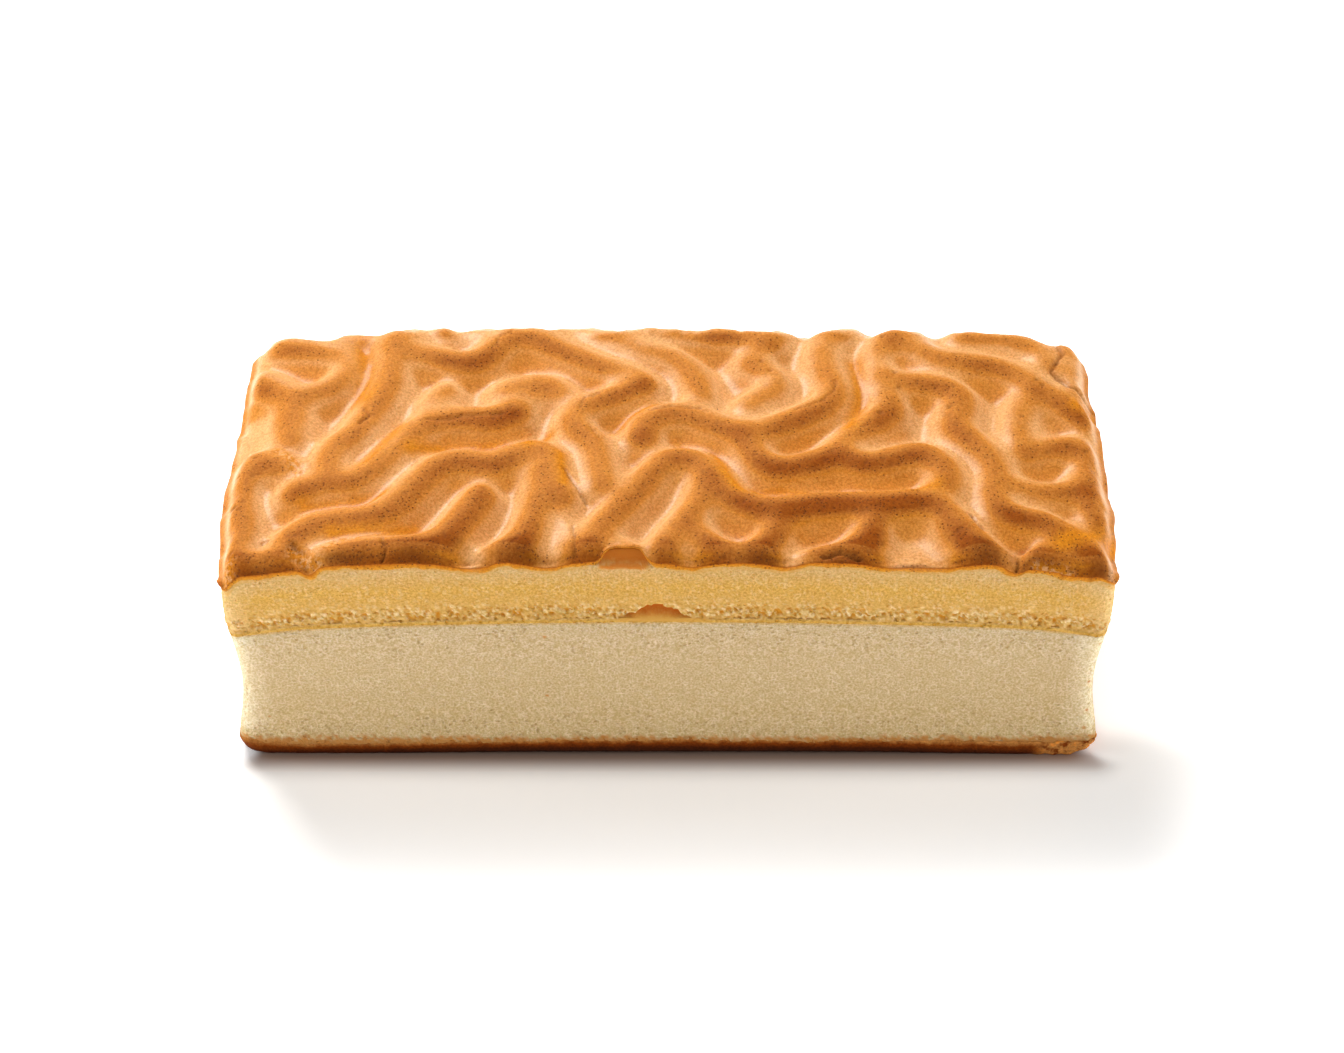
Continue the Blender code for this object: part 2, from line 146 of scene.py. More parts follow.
# Splits in the skin: depth, half width and the line each follows, as (x, distance behind the cut).
SPLITS = (
    (0.6, 0.22, ((-47.2, 4.8), (-46.7, 2.6), (-47.1, 0.2))),
    (0.35, 0.3, ((-42, 34), (-36, 35.2), (-29, 35.8))),
    (0.3, 0.25, ((-31, 54.5), (-30, 57.5), (-28, 58.5))),
    (0.45, 0.35, ((-52.7, 37.5), (-51.5, 35.6), (-53.3, 33.7))),
    (0.35, 0.3, ((-15.3, 37.3), (-14.3, 40), (-12, 41.3))),
    (0.35, 0.3, ((-13.5, 32.5), (-12, 29.3))),
    (0.4, 0.3, ((-2.7, 36.5), (1, 37.4), (5.5, 37))),
    (0.35, 0.3, ((22.2, 36.5), (26.7, 39), (28.7, 41.3), (29.4, 44.4))),
    (0.5, 0.3, ((-17.9, 22), (-15.6, 17.6), (-13.6, 14.7))),
    (0.4, 0.25, ((-15.9, 8.4), (-15, 1))),
    (0.4, 0.3, ((50.3, 11.5), (52.3, 7.6))),
    (0.8, 0.4, ((25.8, 1.0), (28.5, 1.5), (31.5, 0.9))),
    (0.5, 0.25, ((58.2, 2.6), (57.8, 0.3))),
    (0.35, 0.3, ((-67.2, 6.7), (-66.2, 7.8))),
    (0.6, 0.35, ((68.4, 59.6), (69.6, 57.2), (70.3, 55.2), (69.0, 52.6), (67.6, 49.6))),
    (0.65, 0.45, ((67.6, 49.6), (70.9, 46.0), (74.4, 44.2))),
    (0.7, 0.4, ((50.6, 12.0), (51.2, 10.0), (52.6, 8.2))),
    (0.35, 0.3, ((-62.2, 4.6), (-60.8, 3.2), (-59.4, 2.4))),
)

# Gaps between folds that reach the cut and the ends: depth, half width and line.
GAPS = (
    (1.3, 1.0, ((-62.0, 3.4), (-60.2, 1.4), (-59.0, -0.5))),
    (1.6, 1.5, ((-75.0, 3.5), (-73.8, 1.2), (-73.4, -0.5))),
    (1.1, 1.5, ((59.0, 4.8), (57.8, 2.2), (57.6, -0.5))),
    (0.8, 1.6, ((-34.5, 2.2), (-31.5, 0.8), (-30.0, -0.5))),
    (1.1, 1.6, ((-76.5, 46.5), (-73.4, 46.0))),
    (1.0, 1.6, ((-76.5, 29.5), (-73.4, 30.0))),
    (1.2, 1.6, ((-76.5, 18.0), (-73.8, 18.6))),
    (1.2, 1.6, ((-76.5, 8.5), (-73.8, 9.3))),
    (1.1, 1.6, ((76.5, 41.5), (73.4, 42.0))),
    (1.2, 1.6, ((76.5, 24.0), (73.4, 25.0))),
    (1.1, 1.5, ((76.5, 8.5), (74.0, 9.0))),
)

# Torn, crumbly rims along folds: half width and line.
ROUGH_RIMS = (
    (1.2, ((-66.6, 28.6), (-63.4, 25.5), (-62.8, 22.6))),
    (1.1, ((-62, 3.2), (-59.5, 2), (-58, 0.6))),
    (0.9, ((-72.6, -1), (-72.4, 2.5))),
    (0.9, ((61, 0.4), (66.5, 0.3))),
    (0.7, ((-57, 3.4), (-54.5, 4.6), (-51.5, 5.2))),
)

# Golden hollows, where the skin stayed soft and yellow, with painted light bounced between the folds: half
# width and line.
GOLDEN_HOLLOWS = (
    (2.3, ((-53.6, 42), (-53.2, 50), (-54.6, 57.5))),
    (1.7, ((-52, 24), (-49, 29), (-46, 35))),
    (1.5, ((-44, 27.5), (-38, 30.5), (-28, 31))),
    (1.5, ((-61, 15), (-54, 15.4), (-48, 17.5))),
    (1.4, ((-56, 6.8), (-48, 7.2), (-42, 9.5))),
    (1.5, ((-24, 28), (-21, 33.5))),
    (1.2, ((-18.5, 26), (-17.5, 18))),
    (1.4, ((-9, 36), (-2, 40))),
    (1.6, ((8.2, 28), (10, 22), (12, 17))),
    (1.7, ((15, 18.5), (30, 17.6), (45, 17.8))),
    (1.7, ((31, 33), (33.5, 42), (33, 52))),
    (1.9, ((65, 5.4), (69, 7.2), (73.7, 9.4))),
    (1.6, ((71, 40.4), (73.8, 41.8))),
)

# Dark brown patches along the cut, where a fold's face turns down, partly real scorching and
# partly painted shade of the light from behind: x, distance behind the cut, and half width along
# and across.
SCORCHED_AND_SHADED = (
    (-68.5, 0.2, 4.2, 0.7),
    (-53.5, 0.9, 3.8, 1.1),
    (-42, 0.9, 3.8, 1.2),
    (-23.3, 1.6, 3.4, 1.7),
    (15.6, 0.9, 2.9, 1.3),
    (29, 0.35, 4.2, 0.6),
    (40.5, 0.3, 3.2, 0.6),
    (52.8, 1.7, 2.7, 2.1),
    (62.3, 0.8, 3.6, 1.2),
    (71.8, 1.1, 2.2, 1.6),
)

# Burst bubbles in the skin: x, distance behind the cut and radius.
BURST_BUBBLES = (
    (-72.3, 15.3, 0.6),
    (-72.3, 3.9, 0.4),
    (-72.2, 7.6, 0.4),
    (-71.2, 14.1, 0.35),
    (-72.3, 23.2, 0.4),
    (-69.9, 26.6, 0.4),
    (2.1, 25.4, 0.35),
    (28, 25.5, 0.35),
    (15.2, 58.5, 0.35),
    (16.4, 50.5, 0.4),
    (18, 48, 0.4),
    (38.3, 57, 0.5),
    (39.7, 46.8, 0.45),
    (40.3, 43.5, 0.4),
    (49, 38, 0.6),
    (64.8, 46, 0.5),
    (65.5, 44.7, 0.4),
    (36.8, 36, 0.5),
    (61, 37, 0.35),
    (68.2, 29.7, 0.45),
    (71, 28.5, 0.4),
)

# Bubbles in the crumb and pits in the skin: cell size, share of the cells that hold one, and seed.
SKIN_PITS = (1.1, 0.35, 12)
OPEN_HOLES = (1.05, 0.8, 41)
YOLK_PORES = (0.8, 0.35, 42)
YOLK_CURLS = (0.8, 0.65, 44)
SPONGE_PORES = (0.95, 0.3, 71)
SPONGE_SMALL_PORES = (0.8, 0.3, 72)
SPONGE_WALLS = (0.85, 0.35, 75)

# Each crumb's grains and pores per metre, and the share of its cells that hold a pore.
SPONGE_GRAIN = {"Grains": 2600.0, "Pores": 1100.0, "Pore Share": 0.3}
YOLK_GRAIN = {"Grains": 2300.0, "Pores": 1400.0, "Pore Share": 0.25}
FILLING_GRAIN = {"Grains": 1500.0, "Pores": 1000.0, "Pore Share": 0.2}
COARSE_GRAIN = {"Grains": 1500.0, "Pores": 1000.0, "Pore Share": 0.5}

# The share of light that enters each crumb, and how far its red, green and blue spread there.
SPONGE_GLOW = (0.35, (5.0, 3.6, 2.0))
YOLK_GLOW = (0.25, (4.0, 2.4, 0.6))

# What a colour is multiplied by between the grains of a surface, and on them.
CRUMB_TINTS = ((0.77, 0.71, 0.54), (1.14, 1.18, 1.36))
SKIN_TINTS = ((0.78, 0.67, 0.5), (1.12, 1.15, 1.2))


# ---------------------------------------------------------------------------------------------
# Noise over whole arrays of points.


def scatter(cells, seed, draw):
    """A random number from 0 to 1 for each whole-numbered cell, the same at every run."""
    x, y, z = (cells[..., axis].astype(np.int64).astype(np.uint32) for axis in range(3))
    mixed = x * np.uint32(374761393) + y * np.uint32(668265263) + z * np.uint32(2246822519)
    mixed = mixed + np.uint32((seed * 97 + draw * 7919) % 2**32) * np.uint32(3266489917)
    mixed = (mixed ^ (mixed >> np.uint32(15))) * np.uint32(2246822519)
    mixed = (mixed ^ (mixed >> np.uint32(13))) * np.uint32(3266489917)
    mixed = mixed ^ (mixed >> np.uint32(16))
    return mixed.astype(float) / 2**32


def clouds(points, size, seed, octaves=3):
    """Smooth noise from about -1 to 1: random values on cells of a size, blended, halved and added."""
    total = np.zeros(points.shape[:-1])
    for octave in range(octaves):
        place = points * 2**octave / size + 17.3 * octave
        cell = np.floor(place)
        t = place - cell
        t = t * t * (3 - 2 * t)
        value = np.zeros(total.shape)
        for corner in np.ndindex(2, 2, 2):
            weight = np.prod(np.where(np.array(corner) == 1, t, 1 - t), axis=-1)
            value += weight * scatter(cell + corner, seed, octave)
        total += (2 * value - 1) / 2**octave
    return total


def bubbles(points, size, share, seed):
    """Round pores: in a share of the cells of a size, 1 in the middle of the pore down to 0 at its rim."""
    cell = np.floor(points / size)
    deepest = np.zeros(points.shape[:-1])
    for near in np.ndindex(3, 3, 3):
        there = cell + near - 1
        middle = np.stack([scatter(there, seed, axis) for axis in range(3)], axis=-1)
        middle = (there + 0.2 + 0.6 * middle) * size
        radius = size * (0.25 + 0.35 * scatter(there, seed, 3))
        reach = np.linalg.norm(points - middle, axis=-1) / radius
        pore = np.clip(1 - reach**2, 0, 1) * (scatter(there, seed, 4) < share)
        deepest = np.maximum(deepest, pore)
    return deepest


def smooth_step(value, low, high):
    """0 below low, 1 above high, and an S curve between them."""
    share = np.clip((value - low) / (high - low), 0.0, 1.0)
    return share * share * (3.0 - 2.0 * share)


def fading(value, low, high):
    """1 below low, 0 above high, and an S curve between them."""
    return 1 - smooth_step(value, low, high)


def bell(reach):
    """1 at a line or a middle, with a bell-shaped fall over the reach round it."""
    return np.exp(-(reach**2))


def flat_points(x, y):
    """Points on level ground, for noise that is the same at every height."""
    return np.stack([x, y, 0 * x], axis=-1)


# ---------------------------------------------------------------------------------------------
# The bar's form.


def joint_height(x):
    """Level of the joint between the sponges: an arch with drooping ends."""
    from_middle = np.abs(x)
    arch = JOINT_ARCH * (2 * from_middle / LENGTH) ** 2
    into_droop = np.clip(from_middle - LENGTH / 2 + JOINT_DROOP_REACH, 0.0, None) / JOINT_DROOP_REACH
    return JOINT_HEIGHT - arch - JOINT_DROOP * into_droop**2


def waist(z):
    """How far the ends draw in at a height: a band round the lower middle, and a rounded foot."""
    share = np.clip(z / SKIN_LEVEL, 0.0, 1.0)
    band = WAIST * np.sin(math.pi * share**WAIST_LEAN) ** WAIST_FOCUS
    return np.where(z < FOOT_LEVELS[-1], np.interp(z, FOOT_LEVELS, FOOT_INSETS), band)


def corner_radius(y, z):
    """The plan's corner radius at a height: the front corners are tighter than those behind."""
    return np.where(y < 0, np.interp(z, FOOT_LEVELS, FRONT_CORNERS), BACK_CORNER)


def with_corners(x, y, radius, rounded):
    """The plan with its corners rounded, or the reverse, back to a rectangle.

    In each corner square a point keeps its direction from the inner corner. Rounding makes its
    larger offset its distance from there, and the reverse makes its distance its larger offset.
    """
    inner_x, inner_y = LENGTH / 2 - radius, DEPTH / 2 - radius
    over_x = np.clip(np.abs(x) - inner_x, 0.0, None)
    over_y = np.clip(np.abs(y) - inner_y, 0.0, None)
    larger, distance = np.maximum(over_x, over_y), np.hypot(over_x, over_y)
    wanted, given = (larger, distance) if rounded else (distance, larger)
    factor = np.where(given > 0, wanted / np.where(given > 0, given, 1.0), 1.0)
    plan_x = np.minimum(np.abs(x), inner_x) + over_x * factor
    plan_y = np.minimum(np.abs(y), inner_y) + over_y * factor
    return np.copysign(plan_x, x), np.copysign(plan_y, y)


def edge_points():
    """x and y round the rectangle: front left to right, right end, back, left end."""
    x = np.linspace(-LENGTH / 2, LENGTH / 2, COLUMNS + 1)
    y = np.linspace(-DEPTH / 2, DEPTH / 2, ROWS + 1)
    round_x = [x[:-1], np.full(ROWS, x[-1]), x[:0:-1], np.full(ROWS, x[0])]
    round_y = [np.full(COLUMNS, y[0]), y[:-1], np.full(COLUMNS, y[-1]), y[:0:-1]]
    return np.concatenate(round_x), np.concatenate(round_y)


def end_bow(x, y, z):
    """How far the ends stand out: most at the skin, in front of the middle, and not at the cut."""
    share = np.clip(y / DEPTH + 0.5, 0.0, 1.0) ** BOW_LEAN
    bow = END_BOW * np.clip(z / SKIN_LEVEL, 0.0, 1.0) ** BOW_FADE * np.sin(math.pi * share)
    return np.copysign(bow, x) * (2 * np.abs(x) / LENGTH) ** BOW_FOCUS


def ring(z, inset):
    """Points round the bar at a height for each, drawn in by an inset at the ends, less at the sides."""
    edge_x, edge_y = edge_points()
    plan_x, plan_y = with_corners(edge_x, edge_y, corner_radius(edge_y, z), rounded=True)
    plan_x = plan_x * (1.0 - 2 * inset / LENGTH)
    plan_y = plan_y * (1.0 - 2 * inset * SIDE_WAIST_SHARE / DEPTH)
    return np.stack([plan_x + end_bow(plan_x, plan_y, z), plan_y, z + 0 * plan_x], axis=-1)


def core_ring(z, inset):
    """A ring inside the bar, the same distance in at the ends and the sides, for faces that don't show."""
    edge_x, edge_y = edge_points()
    x = edge_x * (1.0 - 2 * inset / LENGTH)
    y = edge_y * (1.0 - 2 * inset / DEPTH)
    return np.stack([x, y, z + 0 * x], axis=-1)


def outward(rings):
    """The level direction out of the wall at each point of a stack of rings."""
    along = np.roll(rings, -1, axis=1) - np.roll(rings, 1, axis=1)
    out = np.stack([along[..., 1], -along[..., 0], 0 * along[..., 0]], axis=-1)
    return out / np.linalg.norm(out, axis=-1, keepdims=True)


def rolled_share(y):
    """0 at the cut and 1 behind it, where the skin rolls down over the ends and the back."""
    return smooth_step(y + DEPTH / 2, 0.3, 3.0)


def torn_share(x):
    """1 on top of the arch where the cut goes through a raised fold, and 0 on both sides of it."""
    return np.interp(x, TORN_PLACES, TORN_SHARES)


# ---------------------------------------------------------------------------------------------
# The skin's relief, read from the solid and refined.


def cubic_weights(count, places):
    """Weights that read a line of values at fractional places with a cubic through its points."""
    whole = np.clip(np.floor(places).astype(int), 0, count - 2)
    t = places - whole
    kernel = (
        (-t + 2 * t**2 - t**3) / 2,
        1 - 2.5 * t**2 + 1.5 * t**3,
        0.5 * t + 2 * t**2 - 1.5 * t**3,
        (t**3 - t**2) / 2,
    )
    weights = np.zeros((len(places), count))
    for shift, part in zip((-1, 0, 1, 2), kernel):
        np.add.at(weights, (np.arange(len(places)), np.clip(whole + shift, 0, count - 1)), part)
    return weights


def bell_weights(count, spread):
    """Weights that replace each value of a line by a bell-shaped mean of those near it."""
    step = np.subtract.outer(np.arange(count), np.arange(count))
    weights = np.exp(-0.5 * (step / spread) ** 2)
    return weights / weights.sum(axis=1, keepdims=True)


def blurred(height, reach):
    """A bell-shaped mean of a height field over a reach in millimetres."""
    rows, columns = height.shape
    return (
        bell_weights(rows, reach * ROWS / DEPTH)
        @ height
        @ bell_weights(columns, reach * COLUMNS / LENGTH).T
    )


def fine_plan():
    """x and y of the fine grid's points, before its corners are rounded."""
    return np.meshgrid(
        np.linspace(-LENGTH / 2, LENGTH / 2, COLUMNS + 1),
        np.linspace(-DEPTH / 2, DEPTH / 2, ROWS + 1),
    )


def solid_levels():
    """Level of the solid's skin at each place of its lattice: the highest point over that place.

    The bow of the ends is taken off by four rounds of guessing, and the corners are squared. A
    place along the cut that has no point of its own takes the lower of those beside it.
    """
    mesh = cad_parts["yolk_sheet"].data
    points = np.empty(len(mesh.vertices) * 3, np.float32)
    mesh.vertices.foreach_get("co", points)
    x, y, z = points.reshape(-1, 3).T / MM
    level_x = x
    for _ in range(4):
        x = level_x - end_bow(x, y, z)
    x, y = with_corners(x, y, corner_radius(y, z), rounded=False)
    columns, rows = SKIN_LATTICE
    column = np.clip(np.rint((x / LENGTH + 0.5) * columns), 0, columns).astype(int)
    row = np.clip(np.rint((y / DEPTH + 0.5) * rows), 0, rows).astype(int)
    lattice = np.zeros((rows + 1, columns + 1))
    np.maximum.at(lattice, (row, column), z)
    beside = np.minimum(np.roll(lattice, 1, axis=1), np.roll(lattice, -1, axis=1))
    missed = lattice < beside - MISSED_DROP
    missed[MISSED_ROWS:] = False
    return np.where(missed, beside, lattice)


def folded_height(looks):
    """Level of the folded skin over the fine grid.

    The solid's levels are read with a cubic and blurred a little. What a mean over the
    sharpening reach takes away is then added once more, in part. The sides of the folds come
    up against their crests and hollows, which rounds the folds and narrows the hollows, and all
    is blurred a little again. At the arch, the level at the cut comes up over that beside it.
    Behind the cut, the ends and the back are dented and rounded off. The gaps are cut in last.
    """
    columns, rows = SKIN_LATTICE
    lattice = solid_levels()
    read_rows = cubic_weights(rows + 1, np.linspace(0, rows, ROWS + 1))
    read_columns = cubic_weights(columns + 1, np.linspace(0, columns, COLUMNS + 1))
    height = blurred(read_rows @ lattice @ read_columns.T, FIRST_MEAN)
    height = height + looks.sharpen * (height - blurred(height, looks.sharpen_reach / MM))
    stand = height - blurred(height, FOLD_REACH)
    height = blurred(height + looks.puff / MM * (bell(stand / CREST_STAND) - 0.5), LAST_MEAN)
    x, y = fine_plan()
    behind = y + DEPTH / 2
    torn = torn_share(x) * fading(behind, 0.6, 4.0)
    raised = np.maximum(height, SKIN_LEVEL + TORN_RISE)
    height = height * (1 - torn) + raised * torn
    from_rolled = np.minimum(LENGTH / 2 - np.abs(x), DEPTH / 2 - y)
    dent_depth, dent_size = DENTS
    dents = dent_depth * (1 + clouds(flat_points(x, y), dent_size, 14)) * fading(from_rolled, 0.5, 4.5)
    rounded_depth, rounded_reach = ROUNDING
    rounding = rounded_depth * np.clip(1 - from_rolled / rounded_reach, 0, 1) ** 2
    return height - (dents + rounding) * smooth_step(behind, 0.5, 5.0) - skin_marks(x, behind)["gap"]


def distance_to_line(x, y, line):
    """How far each point of a grid lies from a line of straight steps."""
    nearest = np.full(x.shape, np.inf)
    for (ax, ay), (bx, by) in zip(line, line[1:]):
        run, rise = bx - ax, by - ay
        along = np.clip(((x - ax) * run + (y - ay) * rise) / (run**2 + rise**2), 0.0, 1.0)
        nearest = np.minimum(nearest, np.hypot(x - ax - along * run, y - ay - along * rise))
    return nearest


def skin_marks(x, behind):
    """What baking and cutting left on the skin, each over the fine grid.

    Splits and gaps are grooves along lines that waver, rough rims and golden hollows are bands
    that fade with the distance from their line, scorched patches fade from their middle, and
    burst bubbles are round pits.
    """
    flat = flat_points(x, behind)
    wavy_x = x + 0.3 * clouds(flat, 1.6, 51)
    wavy_y = behind + 0.3 * clouds(flat, 1.6, 52)
    marks = {name: np.zeros(x.shape) for name in ("split", "gap", "rough", "gold", "scorch_and_shade", "burst")}

    def leave(name, reach, depth=1.0):
        """Adds a mark to those of its kind. Where two meet, the deeper one stays."""
        marks[name] = np.maximum(marks[name], depth * bell(reach))

    for name, grooves in (("split", SPLITS), ("gap", GAPS)):
        for depth, half_width, line in grooves:
            leave(name, distance_to_line(wavy_x, wavy_y, line) / half_width, depth)
    for name, bands in (("rough", ROUGH_RIMS), ("gold", GOLDEN_HOLLOWS)):
        for half_width, line in bands:
            leave(name, distance_to_line(wavy_x, wavy_y, line) / half_width)
    for middle_x, middle_y, reach_x, reach_y in SCORCHED_AND_SHADED:
        leave("scorch_and_shade", np.hypot((wavy_x - middle_x) / reach_x, (wavy_y - middle_y) / reach_y))
    for middle_x, middle_y, radius in BURST_BUBBLES:
        leave("burst", np.hypot(wavy_x - middle_x, wavy_y - middle_y) / radius)
    return marks


def skin_tones(looks, whole, golden):
    """How brown the skin is, how golden, and how far it stands over its own wide mean.

    All three come from its height over the fine grid without the gaps. Browning grows where the
    skin stands high, and it takes in the rolled ends. On the faces of folds that slope down towards
    the cut, and at the foot in front of each fold, brown is painted shade of the light from behind.
    Between the cut and the first crest behind it, it is that of the crest, and more the further the
    skin falls, which is painted shade. Gold grows at the foot of the faces and in the hollows given,
    and less at the cut: a paler skin, with painted light bounced between the folds.
    """
    x, y = fine_plan()
    behind = y + DEPTH / 2
    stand = whole - blurred(whole, FOLD_REACH)
    rise = np.gradient(whole, DEPTH / ROWS, axis=0)
    ahead = np.roll(whole, -int(2.2 * ROWS / DEPTH), axis=0) - whole
    foot = smooth_step(ahead, 0.3, 1.3) * fading(stand, -0.5, 0.5)
    crest = smooth_step(stand, -0.7, 1.2)
    # Faces that slope down towards the cut: browner below as painted shade of the light from behind.
    face = smooth_step(rise, -0.3, 0.8)
    patchy = 0.14 * clouds(flat_points(x, behind), 26.0, 15, 2)
    # Darker towards the front and the right: partly painted shade of the light from behind and the left,
    # partly a real change of browning.
    patchy = patchy + 0.1 * x / LENGTH + 0.16 - 0.3 * behind / DEPTH
    brown = patchy + 0.45 * crest + (0.1 + 0.85 * crest) * face
    # The foot in front of each fold gets painted shade.
    brown = np.maximum(brown, 0.3 * foot)

    last = int(looks.cut_reach / MM * ROWS / DEPTH)
    near_cut = whole[: 2 * last]
    first_crest = np.argmax(near_cut, axis=0)
    before = np.arange(ROWS + 1)[:, None] < first_crest
    # Down the wall at the cut the brown grows as painted shade, the further the skin falls.
    fall = np.clip((near_cut.max(axis=0) - whole) / 3.0, 0, 1)
    on_top = np.take_along_axis(brown, first_crest[None], axis=0)
    brown = np.where(before, np.minimum(on_top, 0.75) + 0.4 * fall, brown)
    brown = np.maximum(brown, 0.55 - 0.55 * smooth_step(LENGTH / 2 - np.abs(x), 0.3, 2.2))

    # Gold is the skin's paler tone with painted light bounced between the folds.
    gold = np.maximum(0.65 * foot, golden) * (stand < 1.2)
    gold[:last] = 0.4 * gold[last]
    return brown, gold, stand


def skin_surface(looks):
    """The skin as a height over each point of the fine grid, with what its colours follow.

    Each fold leans back in step with its height, and the ends waver in the plan. The height gets
    ripples, crumbs on the rough rims, pits where it is brown, splits and burst bubbles.
    """
    x, y = fine_plan()
    behind = y + DEPTH / 2
    height = folded_height(looks)
    marks = skin_marks(x, behind)
    brown, gold, stand = skin_tones(looks, height + marks["gap"], marks["gold"])

    plan_x, plan_y = with_corners(x, y, corner_radius(y, SKIN_LEVEL), rounded=True)
    plan_x = plan_x + end_bow(plan_x, plan_y, SKIN_LEVEL)
    waves = 0.4 * (1 + clouds(flat_points(x, behind), 6.0, 16, 2)) * smooth_step(behind, 0.0, 4.0)
    plan_x = plan_x - np.sign(x) * waves * fading(LENGTH / 2 - np.abs(x), 0.0, 3.0)
    plan_y = plan_y + TORN_LEAN * torn_share(x) * fading(behind, 0.0, 4.0)
    points = np.stack([plan_x, plan_y, height], axis=-1)
    from_edge = np.minimum(LENGTH / 2 - np.abs(x), DEPTH / 2 - np.abs(y))
    points[..., 1] += looks.lean * (stand - 0.7) * smooth_step(from_edge, 0.0, 3.0)
    ripples = clouds(points, 3.0, 11) * looks.ripple_depth / MM * smooth_step(from_edge, 0.0, 1.5)
    pits = bubbles(points, *SKIN_PITS) * np.clip(brown, 0, 1)
    crumbs = marks["rough"] * clouds(points, 0.9, 13) * 0.3
    points[..., 2] += ripples + crumbs - pits * looks.pit_depth / MM
    points[..., 2] -= marks["split"] + 0.35 * marks["burst"]
    points[..., 2] = np.minimum(points[..., 2], SHEET_TOP - 0.02)
    values = {
        "brown": np.clip(brown, 0, 1.3),
        "gold": np.clip(gold, 0, 1),
        "scorch_and_shade": marks["scorch_and_shade"],
        "rough": marks["rough"],
        # split also carries the burst bubbles and pits, and darkens them all as painted shade in these
        # grooves.
        "split": np.clip(marks["split"] / 0.9 + 0.8 * marks["burst"] + 0.7 * pits, 0, 1),
        "band": 0 * x,
    }
    return points, values


# ---------------------------------------------------------------------------------------------
# Meshes.


def band_faces(count, width, first=0):
    """Four-sided faces between rings of a width, stacked from the top down."""
    level, place = np.meshgrid(np.arange(count - 1), np.arange(width), indexing="ij")
    above, below = first + level * width, first + (level + 1) * width
    after = (place + 1) % width
    faces = np.stack([above + place, below + place, below + after, above + after], axis=-1)
    return faces.reshape(-1, 4).tolist()


def stave_faces(ring_start, looking_up):
    """Strips from front to back that close a ring, and a face at each end, seen from above or below."""
    front = np.arange(COLUMNS)
    back = 2 * COLUMNS + ROWS - front
    strips = np.stack([front, front + 1, back - 1, back], axis=-1) + ring_start
    right = np.arange(COLUMNS, COLUMNS + ROWS + 1) + ring_start
    left = np.append(np.arange(2 * COLUMNS + ROWS, 2 * (COLUMNS + ROWS)), 0) + ring_start
    faces = strips.tolist() + [right.tolist(), left.tolist()]
    return faces if looking_up else [face[::-1] for face in faces]


def grid_faces():
    """Four-sided faces of the fine grid, seen from above."""
    row, column = np.meshgrid(np.arange(ROWS), np.arange(COLUMNS), indexing="ij")
    low = row * (COLUMNS + 1) + column
    high = low + COLUMNS + 1
    return np.stack([low, low + 1, high + 1, high], axis=-1).reshape(-1, 4).tolist()


def grid_edge():
    """Indexes of the fine grid's edge points, in the order of edge_points."""
    across = np.arange(COLUMNS + 1)
    up = np.arange(ROWS + 1) * (COLUMNS + 1)
    back = across + up[-1]
    return np.concatenate([across[:-1], up[:-1] + COLUMNS, back[:0:-1], up[:0:-1]])


def piece_from(name, points, faces, values, material, node):
    """A smooth mesh object within the bar's depth that rides on it, with its values as attributes."""
    points = points.reshape(-1, 3).copy()
    points[:, 1] = np.clip(points[:, 1], -DEPTH / 2, DEPTH / 2)
    mesh = bpy.data.meshes.new(name)
    mesh.from_pydata(points * MM, [], faces)
    mesh.validate()
    for label, value in values.items():
        attribute = mesh.attributes.new(label, "FLOAT", "POINT")
        attribute.data.foreach_set("value", value.astype(np.float32).ravel())
    mesh.shade_smooth()
    mesh.materials.append(material)
    piece = bpy.data.objects.new(name, mesh)
    bpy.context.scene.collection.objects.link(piece)
    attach(piece, "root")
    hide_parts(node)


def with_support(stack):
    """Adds a ring close to the top one and to the bottom one, so that the shading turns there."""
    below_top = 0.95 * stack[:1] + 0.05 * stack[1:2]
    above_low = 0.95 * stack[-1:] + 0.05 * stack[-2:-1]
    return np.concatenate([stack[:1], below_top, stack[1:-1], above_low, stack[-1:]])


def sleeve(name, rings, values, material, node):
    """A closed piece whose visible surface is a stack of rings, from the top one down."""
    rings = with_support(rings)
    values = {label: with_support(value) for label, value in values.items()}
    count, width = rings.shape[:2]
    faces = band_faces(count, width)
    faces += stave_faces(0, True) + stave_faces((count - 1) * width, False)
    piece_from(name, rings, faces, values, material, node)


def with_core(core, rings, values):
    """Adds a ring inside the bar on top of a stack, and repeats the top ring's values for it."""
    padded = {label: np.concatenate([value[:1], value]) for label, value in values.items()}
    return np.concatenate([core[None], rings]), padded


# ---------------------------------------------------------------------------------------------
# Finishes.


